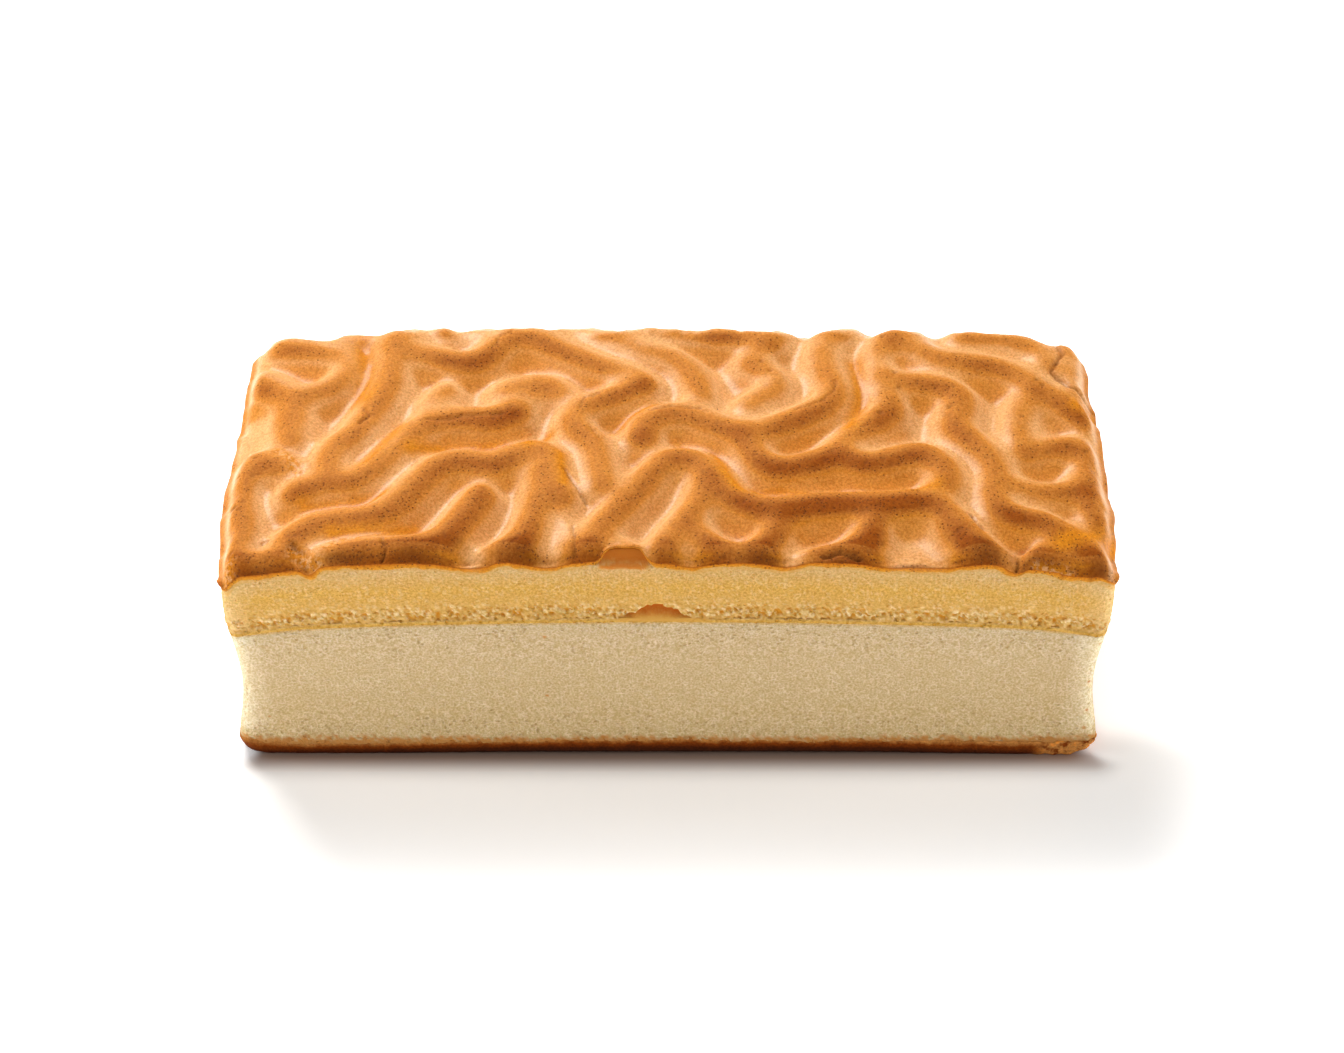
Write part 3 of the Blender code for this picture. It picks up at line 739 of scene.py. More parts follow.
class Wiring:
    """Adds shader nodes: an input given a socket is linked to it, and any other value is set.

    mix and blend go from a first colour or number to a second one with a share, and range turns
    a stretch of values into another one along an S curve.
    """

    def __init__(self, tree):
        self.tree = tree

    def add(self, kind, inputs=None, **settings):
        node = self.tree.nodes.new("ShaderNode" + kind)
        for name, value in settings.items():
            setattr(node, name, value)
        for key, value in (inputs or {}).items():
            if isinstance(value, bpy.types.NodeSocket):
                self.tree.links.new(value, node.inputs[key])
            else:
                node.inputs[key].default_value = value
        return node

    def math(self, operation, first, second=0.0, third=0.0):
        inputs = {0: first, 1: second, 2: third}
        return self.add("Math", inputs, operation=operation).outputs[0]

    def times(self, first, second):
        return self.math("MULTIPLY", first, second)

    def scaled(self, value, factor, offset):
        return self.math("MULTIPLY_ADD", value, factor, offset)

    def vector(self, operation, first, second=(0.0, 0.0, 0.0)):
        return self.add("VectorMath", {0: first, 1: second}, operation=operation).outputs

    def mix(self, share, first, second, blend="MIX"):
        inputs = {0: share, 6: first, 7: second}
        return self.add("Mix", inputs, data_type="RGBA", blend_type=blend).outputs[2]

    def grained(self, colour, share, tints):
        """A colour multiplied by the first tint, by the second, or by what lies between them."""
        tint = self.mix(share, rgba(tints[0]), rgba(tints[1]))
        return self.mix(1.0, colour, tint, "MULTIPLY")

    def blend(self, share, first, second):
        return self.add("Mix", {0: share, 2: first, 3: second}, data_type="FLOAT").outputs[0]

    def range(self, value, low, high, to_low=0.0, to_high=1.0):
        inputs = {0: value, 1: low, 2: high, 3: to_low, 4: to_high}
        return self.add("MapRange", inputs, interpolation_type="SMOOTHSTEP").outputs[0]

    def noise(self, where, per_metre, detail=3.0, roughness=0.55):
        inputs = {"Vector": where, "Scale": per_metre, "Detail": detail, "Roughness": roughness}
        return self.add("TexNoise", inputs).outputs["Fac"]

    def ramp(self, value, stops):
        """A colour for a value from 0 to 1. The first two stops given are the ends of the ramp."""
        node = self.add("ValToRGB", {0: value})
        made = node.color_ramp.elements
        for index, (position, colour) in enumerate(stops):
            stop = made[index] if index < 2 else made.new(position)
            stop.position = position
            stop.color = rgba(colour)
        return node.outputs[0]

    def value(self, label):
        return self.add("Attribute", attribute_name=label).outputs["Fac"]

    def place(self):
        return self.add("TexCoord").outputs["Object"]

    def link(self, socket, target):
        self.tree.links.new(socket, target)

    def give(self, made, sockets):
        """Links a node group's results to its outputs by name."""
        for label, socket in sockets.items():
            self.link(socket, made[label])


def rgba(colour):
    """A colour with full opacity."""
    return (*colour, 1.0)


def new_group(name, inputs, outputs):
    """An empty node group with its sockets, and its wiring, input node and output node."""
    group = bpy.data.node_groups.new(name, "ShaderNodeTree")
    for label, default in inputs.items():
        kind = "NodeSocketVector" if default is None else "NodeSocketFloat"
        socket = group.interface.new_socket(name=label, in_out="INPUT", socket_type=kind)
        if default is not None:
            socket.default_value = default
    for label in outputs:
        group.interface.new_socket(name=label, in_out="OUTPUT", socket_type="NodeSocketFloat")
    wiring = Wiring(group)
    entry = group.nodes.new("NodeGroupInput")
    leave = group.nodes.new("NodeGroupOutput")
    return group, wiring, entry.outputs, leave.inputs


def crumb_grain_group():
    """Baked crumb: fine grains of light and shade, faint bright walls of bubbles, and dark pores.

    Tone is the light and shade of the grains round 0.5, with walls round the bubbles in some
    patches. Pore is 1 inside a pore, and Height is the relief of all three.
    """
    group, wiring, given, made = new_group(
        "crumb_grain",
        {"Place": None, "Grains": 1500.0, "Pores": 800.0, "Pore Share": 0.3},
        ("Tone", "Pore", "Height"),
    )
    place, pores = given["Place"], given["Pores"]
    fine = wiring.noise(place, given["Grains"], 3.0, 0.6)
    foam = {"Vector": place, "Scale": wiring.times(pores, 0.85)}
    edge = wiring.add("TexVoronoi", foam, feature="DISTANCE_TO_EDGE").outputs["Distance"]
    patches = wiring.range(wiring.noise(place, wiring.times(pores, 0.5), 2.0), 0.42, 0.6)
    walls = wiring.times(wiring.range(edge, 0.14, 0.02), patches)
    tone = wiring.scaled(walls, 0.09, wiring.scaled(fine, 0.7, 0.12))
    cells = wiring.add("TexVoronoi", {"Vector": place, "Scale": pores, "Randomness": 1.0}).outputs
    chosen = wiring.math("LESS_THAN", cells["Color"], given["Pore Share"])
    pore = wiring.times(wiring.range(cells["Distance"], 0.4, 0.12), chosen)
    height = wiring.math("SUBTRACT", wiring.scaled(walls, 0.3, fine), pore)
    wiring.give(made, {"Tone": tone, "Pore": pore, "Height": height})
    return group


def oven_specks_group():
    """Specks that an oven leaves on a brown crust: small dark pits, thickest where it is brownest."""
    group, wiring, given, made = new_group(
        "oven_specks", {"Place": None, "Browning": 0.5, "Specks": 1750.0}, ("Speck", "Grain")
    )
    place = given["Place"]
    cells = wiring.add("TexVoronoi", {"Vector": place, "Scale": given["Specks"]}).outputs
    share = wiring.range(given["Browning"], 0.25, 1.0, 0.04, 0.7)
    chosen = wiring.math("LESS_THAN", cells["Color"], share)
    speck = wiring.times(wiring.range(cells["Distance"], 0.36, 0.16), chosen)
    wiring.give(made, {"Speck": speck, "Grain": wiring.noise(place, 2300.0, 3.0, 0.7)})
    return group


def group_node(wiring, name, make_group, inputs):
    """Places a shared node group, which is made the first time, and gives its outputs."""
    group = bpy.data.node_groups.get(name) or make_group()
    return wiring.add("Group", inputs, node_tree=group).outputs


def new_material(name, roughness, shine, soft_light, glow):
    """A Principled material, its wiring and its shader's inputs.

    soft_light is the share of light that enters the surface, and glow how far its red, green and
    blue spread there, in millimetres.
    """
    material = bpy.data.materials.new(name)
    material.use_nodes = True
    shader = material.node_tree.nodes["Principled BSDF"].inputs
    shader["Roughness"].default_value = roughness
    shader["Specular IOR Level"].default_value = shine
    shader["Subsurface Weight"].default_value = soft_light
    shader["Subsurface Radius"].default_value = glow
    shader["Subsurface Scale"].default_value = MM
    return material, Wiring(material.node_tree), shader


def relief(wiring, shader, height, distance):
    """Bumps in the shading, a distance high from a height of 0 to 1."""
    bump = wiring.add("Bump", {"Height": height, "Distance": distance, "Strength": 1.0})
    wiring.link(bump.outputs[0], shader["Normal"])


def skin_material(looks):
    """Browned skin with painted shade: peach bowls, brown speckled crests, golden hollows, a golden edge at
    the cut.
    """
    material, wiring, shader = new_material("baked_skin", 0.5, 0.06, 0.1, (2.0, 0.7, 0.2))
    shader["Specular Tint"].default_value = (1.0, 0.85, 0.68, 1.0)
    shader["Coat Roughness"].default_value = 0.3
    place = wiring.place()
    cloudy = wiring.scaled(wiring.noise(place, 110.0, 3.0), 0.5, -0.25)
    # brown holds real browning and painted shade, and the bowls, flanks and crests follow it.
    brown_and_painted_shade = wiring.math("ADD", wiring.value("brown"), cloudy)
    scorch_and_shade = wiring.value("scorch_and_shade")
    given = {"Place": place, "Browning": wiring.math("ADD", brown_and_painted_shade, scorch_and_shade)}
    specks = group_node(wiring, "oven_specks", oven_specks_group, given)
    colour = wiring.ramp(brown_and_painted_shade, ((0.1, looks.bowl), (1.0, looks.crest), (0.5, looks.flank)))
    colour = wiring.mix(wiring.value("gold"), colour, rgba(looks.hollow))
    # The dark patches along the cut: partly real scorching, partly painted shade.
    colour = wiring.mix(wiring.times(scorch_and_shade, 0.6), colour, rgba(looks.scorched_and_shaded))
    bits = wiring.range(wiring.noise(place, 1100.0, 2.0), 0.45, 0.62)
    crumbly = wiring.mix(bits, rgba(looks.hollow), rgba(looks.bowl))
    colour = wiring.mix(wiring.times(wiring.value("rough"), 0.8), colour, crumbly)
    band = wiring.value("band")
    edge = wiring.ramp(band, ((0.1, looks.crest), (1.0, looks.rim_low), (0.3, looks.rim)))
    colour = wiring.mix(wiring.range(band, 0.0, 0.15), colour, edge)
    colour = wiring.grained(colour, wiring.range(specks["Grain"], 0.3, 0.7), SKIN_TINTS)
    # Splits, burst bubbles and pits are darkened as painted shade, and the oven specks take their own dark
    # colour.
    dark = wiring.times(wiring.value("split"), 0.6)
    dark = wiring.math("MAXIMUM", wiring.times(specks["Speck"], 0.75), dark)
    colour = wiring.mix(dark, colour, rgba(looks.specks_and_groove_shade))
    wiring.link(colour, shader["Base Color"])
    rough = wiring.range(specks["Grain"], 0.3, 0.7, 0.34, 0.5)
    wiring.link(wiring.scaled(brown_and_painted_shade, 0.14, rough), shader["Roughness"])
    wiring.link(wiring.range(brown_and_painted_shade, 0.5, 0.05, 0.0, 0.4), shader["Coat Weight"])
    height = wiring.math("SUBTRACT", specks["Grain"], wiring.times(specks["Speck"], 0.7))
    relief(wiring, shader, height, 0.14 * MM)
    return material


def crumb_material(name, tones, colours, grain, glow):
    """Cut crumb whose tone runs from the top of its layer to the bottom, with grains and pores.

    colours are those inside the pores, of lit walls, of toasted crumb and of custard. These
    attributes of the mesh say where they go: depth runs the tones, pale and pore bring the lit
    walls and the pores, and pale also a painted glow at the ends of the cut face, coarse the larger
    grain, toast the crumb that touched the hot skin or crust, with a ragged edge, and painted shade
    under the roof of the hollow over the filling, and custard what is smooth as custard.
    """
    pore_colour, lit, toasted, custard = (rgba(colour) for colour in colours)
    material, wiring, shader = new_material(name, 0.85, 0.15, *glow)
    place = wiring.place()
    coarse, smooth = wiring.value("coarse"), wiring.value("custard")
    fine = group_node(wiring, "crumb_grain", crumb_grain_group, {"Place": place, **grain})
    large = group_node(wiring, "crumb_grain", crumb_grain_group, {"Place": place, **COARSE_GRAIN})
    tone, height, pore = (
        wiring.blend(coarse, fine[label], large[label]) for label in ("Tone", "Height", "Pore")
    )
    colour = wiring.ramp(wiring.value("depth"), tones)
    colour = wiring.mix(wiring.times(wiring.value("pale"), 0.75), colour, lit)
    colour = wiring.grained(colour, wiring.range(tone, 0.34, 0.66), CRUMB_TINTS)
    pore = wiring.math("MAXIMUM", wiring.times(pore, 0.6), wiring.value("pore"))
    colour = wiring.mix(pore, colour, pore_colour)
    colour = wiring.mix(smooth, colour, custard)
    ragged = wiring.scaled(fine["Tone"], 0.8, wiring.math("SUBTRACT", wiring.value("toast"), 0.4))
    colour = wiring.mix(wiring.range(ragged, 0.1, 0.9), colour, toasted)
    wiring.link(colour, shader["Base Color"])
    relief(wiring, shader, wiring.blend(smooth, height, 0.5), 0.28 * MM)
    return material


def crust_material(looks):
    """Bottom crust: tan where it meets the crumb, nearly black where it meets the tray, partly real browning
    and partly painted shade under its foot.
    """
    material, wiring, shader = new_material("bottom_crust", 0.75, 0.03, 0.0, (1.0, 1.0, 1.0))
    place = wiring.place()
    uneven = wiring.scaled(wiring.noise(place, 500.0, 4.0, 0.65), 0.5, -0.25)
    baked = wiring.math("ADD", wiring.value("depth"), uneven)
    specks = group_node(wiring, "oven_specks", oven_specks_group, {"Place": place, "Browning": baked})
    stops = (
        (0.0, looks.crust_top),
        (1.0, looks.crust_base),
        (0.3, looks.crust),
        (0.62, looks.crust_low),
    )
    # The lower crust and its base are partly real browning against the tray and partly painted shade under
    # the foot.
    colour = wiring.ramp(baked, stops)
    torn_stops = ((0.35, looks.crust), (0.65, looks.torn), (0.5, looks.crust_top))
    bits = wiring.ramp(wiring.noise(place, 700.0, 3.0), torn_stops)
    colour = wiring.mix(wiring.value("torn"), colour, bits)
    shade = wiring.range(specks["Grain"], 0.3, 0.7, 0.75, 1.2)
    colour = wiring.mix(1.0, colour, shade, "MULTIPLY")
    wiring.link(colour, shader["Base Color"])
    relief(wiring, shader, specks["Grain"], 0.2 * MM)
    return material


# ---------------------------------------------------------------------------------------------
# What a user can change.


def length_setting(name, description, millimetres):
    """A length that a user can change, given in millimetres and stored in metres."""
    return FloatProperty(
        name=name, description=description, default=millimetres * MM, min=0.0, unit="LENGTH", precision=5
    )


def colour_setting(name, description, colour):
    """A colour that a user can change."""
    return FloatVectorProperty(
        name=name, description=description, default=colour, subtype="COLOR", size=3, min=0.0, max=1.0
    )


class CakeSkinLooks(bpy.types.PropertyGroup):
    """Sizes and colours of the wrinkled skin."""

    sharpen_reach: length_setting("Sharpening reach", "Reach over which the folds are sharpened", 1.6)
    sharpen: FloatProperty(name="Sharpening", description="How much steeper the folds get", default=0.3)
    puff: length_setting("Puff", "How far the sides of the folds come up to round them", 0.2)
    lean: FloatProperty(name="Lean", description="How far the folds lean back for their height", default=0.75)
    cut_reach: length_setting("Cut reach", "How far the tones behind the cut run on up to it", 2.0)
    ripple_depth: length_setting("Ripple depth", "Depth of the slight ripples between folds", 0.05)
    pit_depth: length_setting("Pit depth", "Depth of the pits on the crests", 0.16)
    edge_height: length_setting("Edge height", "Height of the skin's cut edge", 1.35)
    bowl: colour_setting("Bowl", "Skin in the wide bowls between folds", (0.90, 0.47, 0.185))
    flank: colour_setting("Flank", "Skin on the sides of the folds", (0.70, 0.268, 0.047))
    # The crest colour also stands on the faces of folds that slope towards the cut, as painted shade.
    crest: colour_setting("Crest", "Skin on the fronts of the folds", (0.36, 0.09, 0.008))
    # Paler skin in the hollows, with painted light bounced between the folds.
    hollow: colour_setting("Hollow", "Skin in the narrow hollows", (0.74, 0.262, 0.014))
    # Partly real scorching, partly painted shade where fold faces turn down at the cut.
    scorched_and_shaded: colour_setting("Scorched", "Skin that turns down at the cut", (0.17, 0.038, 0.004))
    rim: colour_setting("Rim", "Cut edge of the skin at its top", (0.62, 0.2, 0.01))
    rim_low: colour_setting("Rim base", "Cut edge of the skin where the crumb begins", (0.73, 0.33, 0.035))
    # Dark oven specks, and painted shade in the splits, burst bubbles and pits.
    specks_and_groove_shade: colour_setting("Burnt", "Specks and splits", (0.16, 0.045, 0.01))


class CakeCrumbLooks(bpy.types.PropertyGroup):
    """Sizes and colours of the crumb, the filling and the bottom crust."""

    relief: length_setting("Crumb relief", "Depth of the pores in the cut faces", 0.25)
    pocket_depth: length_setting("Pocket depth", "How deep the hollow over the filling runs", 1.7)
    yolk_top: colour_setting("Yolk crumb top", "Yolk crumb under the skin", (0.775, 0.475, 0.195))
    yolk: colour_setting("Yolk crumb", "Yolk crumb in the middle", (0.785, 0.445, 0.095))
    yolk_base: colour_setting("Yolk crumb base", "Yolk crumb over the filling", (0.71, 0.42, 0.13))
    yolk_pore: colour_setting("Yolk pore", "Inside the yolk crumb's pores", (0.68, 0.27, 0.012))
    yolk_lit: colour_setting("Lit yolk crumb", "Yolk crumb at its curls and ends", (1.0, 0.78, 0.44))
    toasted: colour_setting("Toasted crumb", "Crumb that touched the hot skin", (0.62, 0.17, 0.015))
    filling: colour_setting("Filling", "The filling between the sponges", (0.73, 0.385, 0.075))
    custard: colour_setting("Custard", "Smooth filling in the hollow", (0.72, 0.35, 0.07))
    sponge_top: colour_setting("Sponge top", "Sponge under the filling", (0.725, 0.545, 0.318))
    sponge: colour_setting("Sponge", "Sponge in the middle", (0.725, 0.54, 0.296))
    sponge_base: colour_setting("Sponge base", "Sponge over the crust", (0.75, 0.555, 0.286))
    sponge_pore: colour_setting("Sponge pore", "Inside the sponge's pores", (0.58, 0.36, 0.14))
    sponge_lit: colour_setting("Lit sponge", "Sponge at its bubble walls and ends", (1.0, 0.87, 0.60))
    crust_top: colour_setting("Crust top", "Crust where it meets the crumb", (0.60, 0.25, 0.06))
    crust: colour_setting("Crust", "Crust in its upper half", (0.22, 0.045, 0.004))
    # Lower crust and base: real browning with painted shade under the foot.
    crust_low: colour_setting("Lower crust", "Crust in its lower half", (0.09, 0.018, 0.004))
    crust_base: colour_setting("Crust base", "Crust where it met the tray", (0.035, 0.012, 0.006))
    torn: colour_setting("Torn crust", "Crust broken open at a corner", (0.80, 0.28, 0.045))


class CakeStageLooks(bpy.types.PropertyGroup):
    """Light and floor."""

    key: FloatProperty(name="Key light", description="Power of the light behind, in watts", default=9.3)
    side: FloatProperty(name="Side lights", description="Power of each light beside, in watts", default=3.2)
    fill: FloatProperty(name="Fill light", description="Power of the light in front, in watts", default=1.3)
    sky: FloatProperty(name="Sky", description="Strength of the light all round", default=0.2)
    floor: colour_setting("Floor", "The floor", (0.9, 0.9, 0.9))
    # Painted: the shade is a shadow painted into the floor's colour close to the bar, and the glow is painted
    # light that lifts the shadows further out.
    floor_painted_shadow: colour_setting("Floor shade", "The floor close to the bar", (0.37, 0.25, 0.19))
    floor_glow: FloatProperty(name="Floor glow", description="Light from the floor itself", default=0.65)


# ---------------------------------------------------------------------------------------------
# The pieces.


class CAKE_OT_skin(bpy.types.Operator):
    """Makes the browned skin with its folds, splits and rolled edge"""

    bl_idname = "cake.skin"
    bl_label = "Baked skin"

    def execute(self, context):
        looks = context.scene.cake_skin
        top, values = skin_surface(looks)
        edge = grid_edge()
        rim = top.reshape(-1, 3)[edge]
        edge_x, edge_y = edge_points()
        torn = torn_share(edge_x) * (edge_y < 0)
        rolled = rolled_share(edge_y)
        # The cut edge wavers in height, and is thinner on the torn arch and at the front corners.
        tall = 0.85 + 0.3 * clouds(rim, 6.0, 21) + 0.15 * clouds(rim, 1.4, 22)
        tall = looks.edge_height / MM * tall * (1 - 0.7 * torn)
        tall = tall * (1 - 0.6 * (1 - rolled) * smooth_step(np.abs(edge_x), 69.0, 74.0))
        # Its rings curl in under the rim, and a last one inside the bar closes the skin.
        shift = rim - ring(rim[:, 2], 0.0)
        rings, bands = [], []
        for inset, share in EDGE_CURL:
            lower = ring(rim[:, 2], inset) + shift
            lower[:, 2] = rim[:, 2] - share * tall
            rings.append(lower)
            bands.append(share * (1 - rolled))
        rings.append(core_ring(joint_height(rim[:, 0]) + SKIN_CORE_RISE, CORE_INSET))
        bands.append(bands[-1])
        rings, bands = np.stack(rings), np.stack(bands)
        points = np.concatenate([top.reshape(-1, 3), rings.reshape(-1, 3)])
        width = len(rim)
        start = len(points) - len(rings) * width
        first = start + np.arange(width)
        collar = np.stack([edge, first, np.roll(first, -1), np.roll(edge, -1)], axis=-1)
        faces = grid_faces() + collar.tolist() + band_faces(len(rings), width, start)
        faces += stave_faces(start + (len(rings) - 1) * width, False)
        padded = {}
        for label, value in values.items():
            below = bands if label == "band" else 0 * bands + value.ravel()[edge]
            padded[label] = np.concatenate([value.ravel(), below.ravel()])
        piece_from("baked_skin", points, faces, padded, skin_material(looks), "yolk_sheet")
        return {"FINISHED"}


def pocket_places(points):
    """The hollow over the filling: how far inside it each point lies, and how far up to its roof."""
    middle, left, right, tall = POCKET
    x, y, z = np.moveaxis(points, -1, 0)
    across = (x - middle) / np.where(x < middle, left, right)
    roof = tall * np.clip(1 - np.abs(across) ** 1.3, 0, 1)
    uneven = 0.35 * clouds(points, 1.1, 31) + 0.45 * clouds(points, 0.55, 32, 1)
    roof = roof + np.where(roof > 0.2, uneven, 0)
    up = z - joint_height(x) - FILLING / 2
    inside = smooth_step(roof - up, 0.0, 0.3) * (roof > 0.1) * (y < 0)
    return inside, np.clip(up / np.maximum(roof, 0.6), 0, 1)


class CAKE_OT_yolk_crumb(bpy.types.Operator):
    """Makes the yolk sheet's cut faces, coarser towards the filling, with the hollow over it"""

    bl_idname = "cake.yolk_crumb"
    bl_label = "Yolk crumb"

    def execute(self, context):
        looks = context.scene.cake_crumb
        edge_x, edge_y = edge_points()
        rolled = rolled_share(edge_y)
        torn = torn_share(edge_x) * (edge_y < 0)
        skin_edge = folded_height(context.scene.cake_skin).ravel()[grid_edge()] - SKIN_LAP + 0.3 * torn
        low = joint_height(edge_x) + FILLING / 2 - JOINT_LAP
        depth = np.linspace(0.0, 1.0, int((SKIN_LEVEL - JOINT_HEIGHT) / CRUMB_STEP))[:, None]
        z = skin_edge * (1 - depth) + low * depth
        rings = ring(z, (SKIN_OVERHANG + 0.4 * rolled) * (1 - depth) + waist(z) * depth)

        # Over the filling the crumb is torn open in a ragged row of holes between pale curls.
        above = z - joint_height(edge_x) - FILLING / 2
        coarse = fading(above, 2.0, 6.0)
        ragged = above + 0.5 * clouds(rings, 2.0, 45)
        row = smooth_step(ragged, -0.5, 0.1) * fading(ragged, 1.5, 3.8)
        holes = smooth_step(bubbles(rings, *OPEN_HOLES), 0.05, 0.45) * row
        curls = smooth_step(bubbles(rings, *YOLK_CURLS), 0.05, 0.45)
        curls = curls * smooth_step(ragged, -0.1, 0.5) * np.maximum(coarse, 0.35)
        pores = np.maximum(holes, bubbles(rings, *YOLK_PORES) * (0.15 + 0.6 * coarse))
        row_glow = 0.55 * fading(above, 0.3, 1.3)
        uneven = 0.5 + 0.5 * clouds(rings, 0.9, 43)
        inside, up = pocket_places(rings)

        # Under the torn arch the hollow is baked and crumbly, with a soft sill along its foot, and
        # beside it a soft line runs under the skin.
        over = z - SKIN_LEVEL
        arch = smooth_step(over, 0.0, 0.7) * (torn > 0.05)
        baked = 0.78 + 0.17 * smooth_step(over, 0.4, 1.8)
        bits = smooth_step(clouds(rings, 0.6, 46), 0.0, 0.5) * fading(over, 0.8, 1.6) * arch
        sill = smooth_step(over + 0.3 * clouds(rings, 1.5, 48), -0.8, -0.3)
        sill = sill * fading(over, 0.1, 0.5) * smooth_step(torn, 0.05, 0.5)
        line = smooth_step(z - skin_edge, -1.5, -0.9) * (1 - arch) * (torn < 0.05)

        inward = (0.2 * uneven + pores * (0.6 + coarse) - 0.6 * curls) * looks.relief / MM
        inward = inward * (1 - inside) * smooth_step(above, -0.1, 0.4)
        rings = rings - outward(rings) * inward[..., None]
        rings[..., 1] += inside * smooth_step(up, 0.1, 0.8) * looks.pocket_depth / MM
        rings[..., 1] += arch * (0.4 + 0.6 * np.clip(over, 0, 2.8))
        # At the ends of the cut face the crumb is paled: painted light that glows there.
        ends = smooth_step(np.abs(rings[..., 0]), 69.0, 74.5) * (1 - rolled)
        # In the hollow over the filling the toast is painted shade, darker towards its roof.
        toasts = (arch * (baked - 0.25 * bits), 0.7 * sill, inside * (0.2 + 0.9 * up))
        softs = (inside, 0.6 * line, 0.9 * sill, 0.9 * arch, row_glow)
        values = {
            "depth": np.clip(1 - above / (SKIN_LEVEL - JOINT_HEIGHT), 0, 1),
            "pore": 0.9 * holes * (1 - curls),
            "coarse": np.maximum(coarse, arch),
            "toast": np.maximum.reduce(toasts),
            "custard": np.maximum.reduce(softs),
            "pale": np.maximum(0.5 * ends, 0.85 * curls * (1 - inside) * (1 - arch)),
        }
        material = crumb_material(
            "yolk_crumb",
            ((0.02, looks.yolk_top), (1.0, looks.yolk_base), (0.4, looks.yolk)),
            (looks.yolk_pore, looks.yolk_lit, looks.toasted, looks.custard),
            YOLK_GRAIN,
            YOLK_GLOW,
        )
        core = core_ring(joint_height(edge_x) + YOLK_CORE_RISE, CORE_INSET)
        sleeve("yolk_crumb", *with_core(core, rings, values), material, "yolk_sheet")
        return {"FINISHED"}


class CAKE_OT_filling(bpy.types.Operator):
    """Makes the thin yellow filling between the sponges"""

    bl_idname = "cake.filling"
    bl_label = "Filling"

    def execute(self, context):
        looks = context.scene.cake_crumb
        edge_x, edge_y = edge_points()
        up = np.linspace(1.0, -1.0, FILLING_RINGS)[:, None]
        z = joint_height(edge_x) + up * (FILLING / 2 + FILLING_LAP)
        rings = ring(z, waist(z) + 0.1)
        # It is smooth as custard under the hollow, and uneven elsewhere, with a round edge.
        smooth = fading(np.abs(edge_x - POCKET[0] - 1), 4.5, 11) * (edge_y < 0)
        smooth = smooth * smooth_step(up, -0.5, 0.4)
        bulge = 0.1 * (1 - smooth) * clouds(rings, 0.9, 61) + 0.12 - 0.12 * up**4
        rings = rings + outward(rings) * bulge[..., None]
        values = {"depth": 0.5 - 0.5 * up + 0 * z, "custard": smooth, "coarse": 1 + 0 * z}
        tones = (
            (0.0, looks.yolk_base),
            (1.0, looks.sponge_top),
            (0.35, looks.filling),
            (0.7, looks.filling),
        )
        colours = (looks.yolk_pore, looks.yolk_lit, looks.toasted, looks.custard)
        material = crumb_material("custard_filling", tones, colours, FILLING_GRAIN, YOLK_GLOW)
        sleeve("custard_filling", rings, values, material, "filling")
        return {"FINISHED"}


class CAKE_OT_sponge(bpy.types.Operator):
    """Makes the pale sponge's cut faces, with fine grain and pores"""

    bl_idname = "cake.sponge"
    bl_label = "Sponge crumb"

    def execute(self, context):
        looks = context.scene.cake_crumb
        edge_x, edge_y = edge_points()
        top = joint_height(edge_x) - FILLING / 2 + JOINT_LAP
        low = CRUST_TOP - CRUST_LAP
        depth = np.linspace(0.0, 1.0, int((JOINT_HEIGHT - low) / SPONGE_STEP))[:, None]
        z = top * (1 - depth) + low * depth
        rings = ring(z, waist(z))
        near_crust = fading(z, CRUST_TOP + 1.0, CRUST_TOP + 4.5)
        above_crust = z - CRUST_TOP + 1.1 * clouds(rings, 0.6, 74, 2)
        pores = bubbles(rings, *SPONGE_PORES) + 0.5 * bubbles(rings, *SPONGE_SMALL_PORES)
        uneven = 0.5 + 0.5 * clouds(rings, 0.9, 73)
        inward = (0.15 * uneven + (0.3 + 0.6 * near_crust) * pores) * looks.relief / MM
        rings = rings - outward(rings) * inward[..., None]
        specks = np.zeros(z.shape)
        for speck_x, speck_z, radius in STUCK_SPECKS:
            reach = np.hypot(rings[..., 0] - speck_x, z - speck_z) / radius
            specks = np.maximum(specks, bell(reach) * (edge_y < 0))
        # At the ends of the cut face the sponge is paled: painted light that glows there.
        ends = smooth_step(np.abs(rings[..., 0]), 67.0, 73.5) * (1 - near_crust)
        values = {
            "depth": depth + 0 * z,
            "pore": np.clip(1.3 * pores, 0, 1) * (0.3 + 0.45 * near_crust),
            "toast": np.maximum(0.9 - 0.9 * smooth_step(above_crust, -0.2, 2.4), specks),
            "pale": 0.4 * bubbles(rings, *SPONGE_WALLS) + ends * (1 - rolled_share(edge_y)),
        }
        tones = (
            (0.0, looks.filling),
            (1.0, looks.sponge_base),
            (0.025, looks.sponge_top),
            (0.4, looks.sponge),
        )
        colours = (looks.sponge_pore, looks.sponge_lit, looks.crust_top, looks.custard)
        material = crumb_material("sponge_crumb", tones, colours, SPONGE_GRAIN, SPONGE_GLOW)
        sleeve("sponge_crumb", rings, values, material, "sponge")
        return {"FINISHED"}


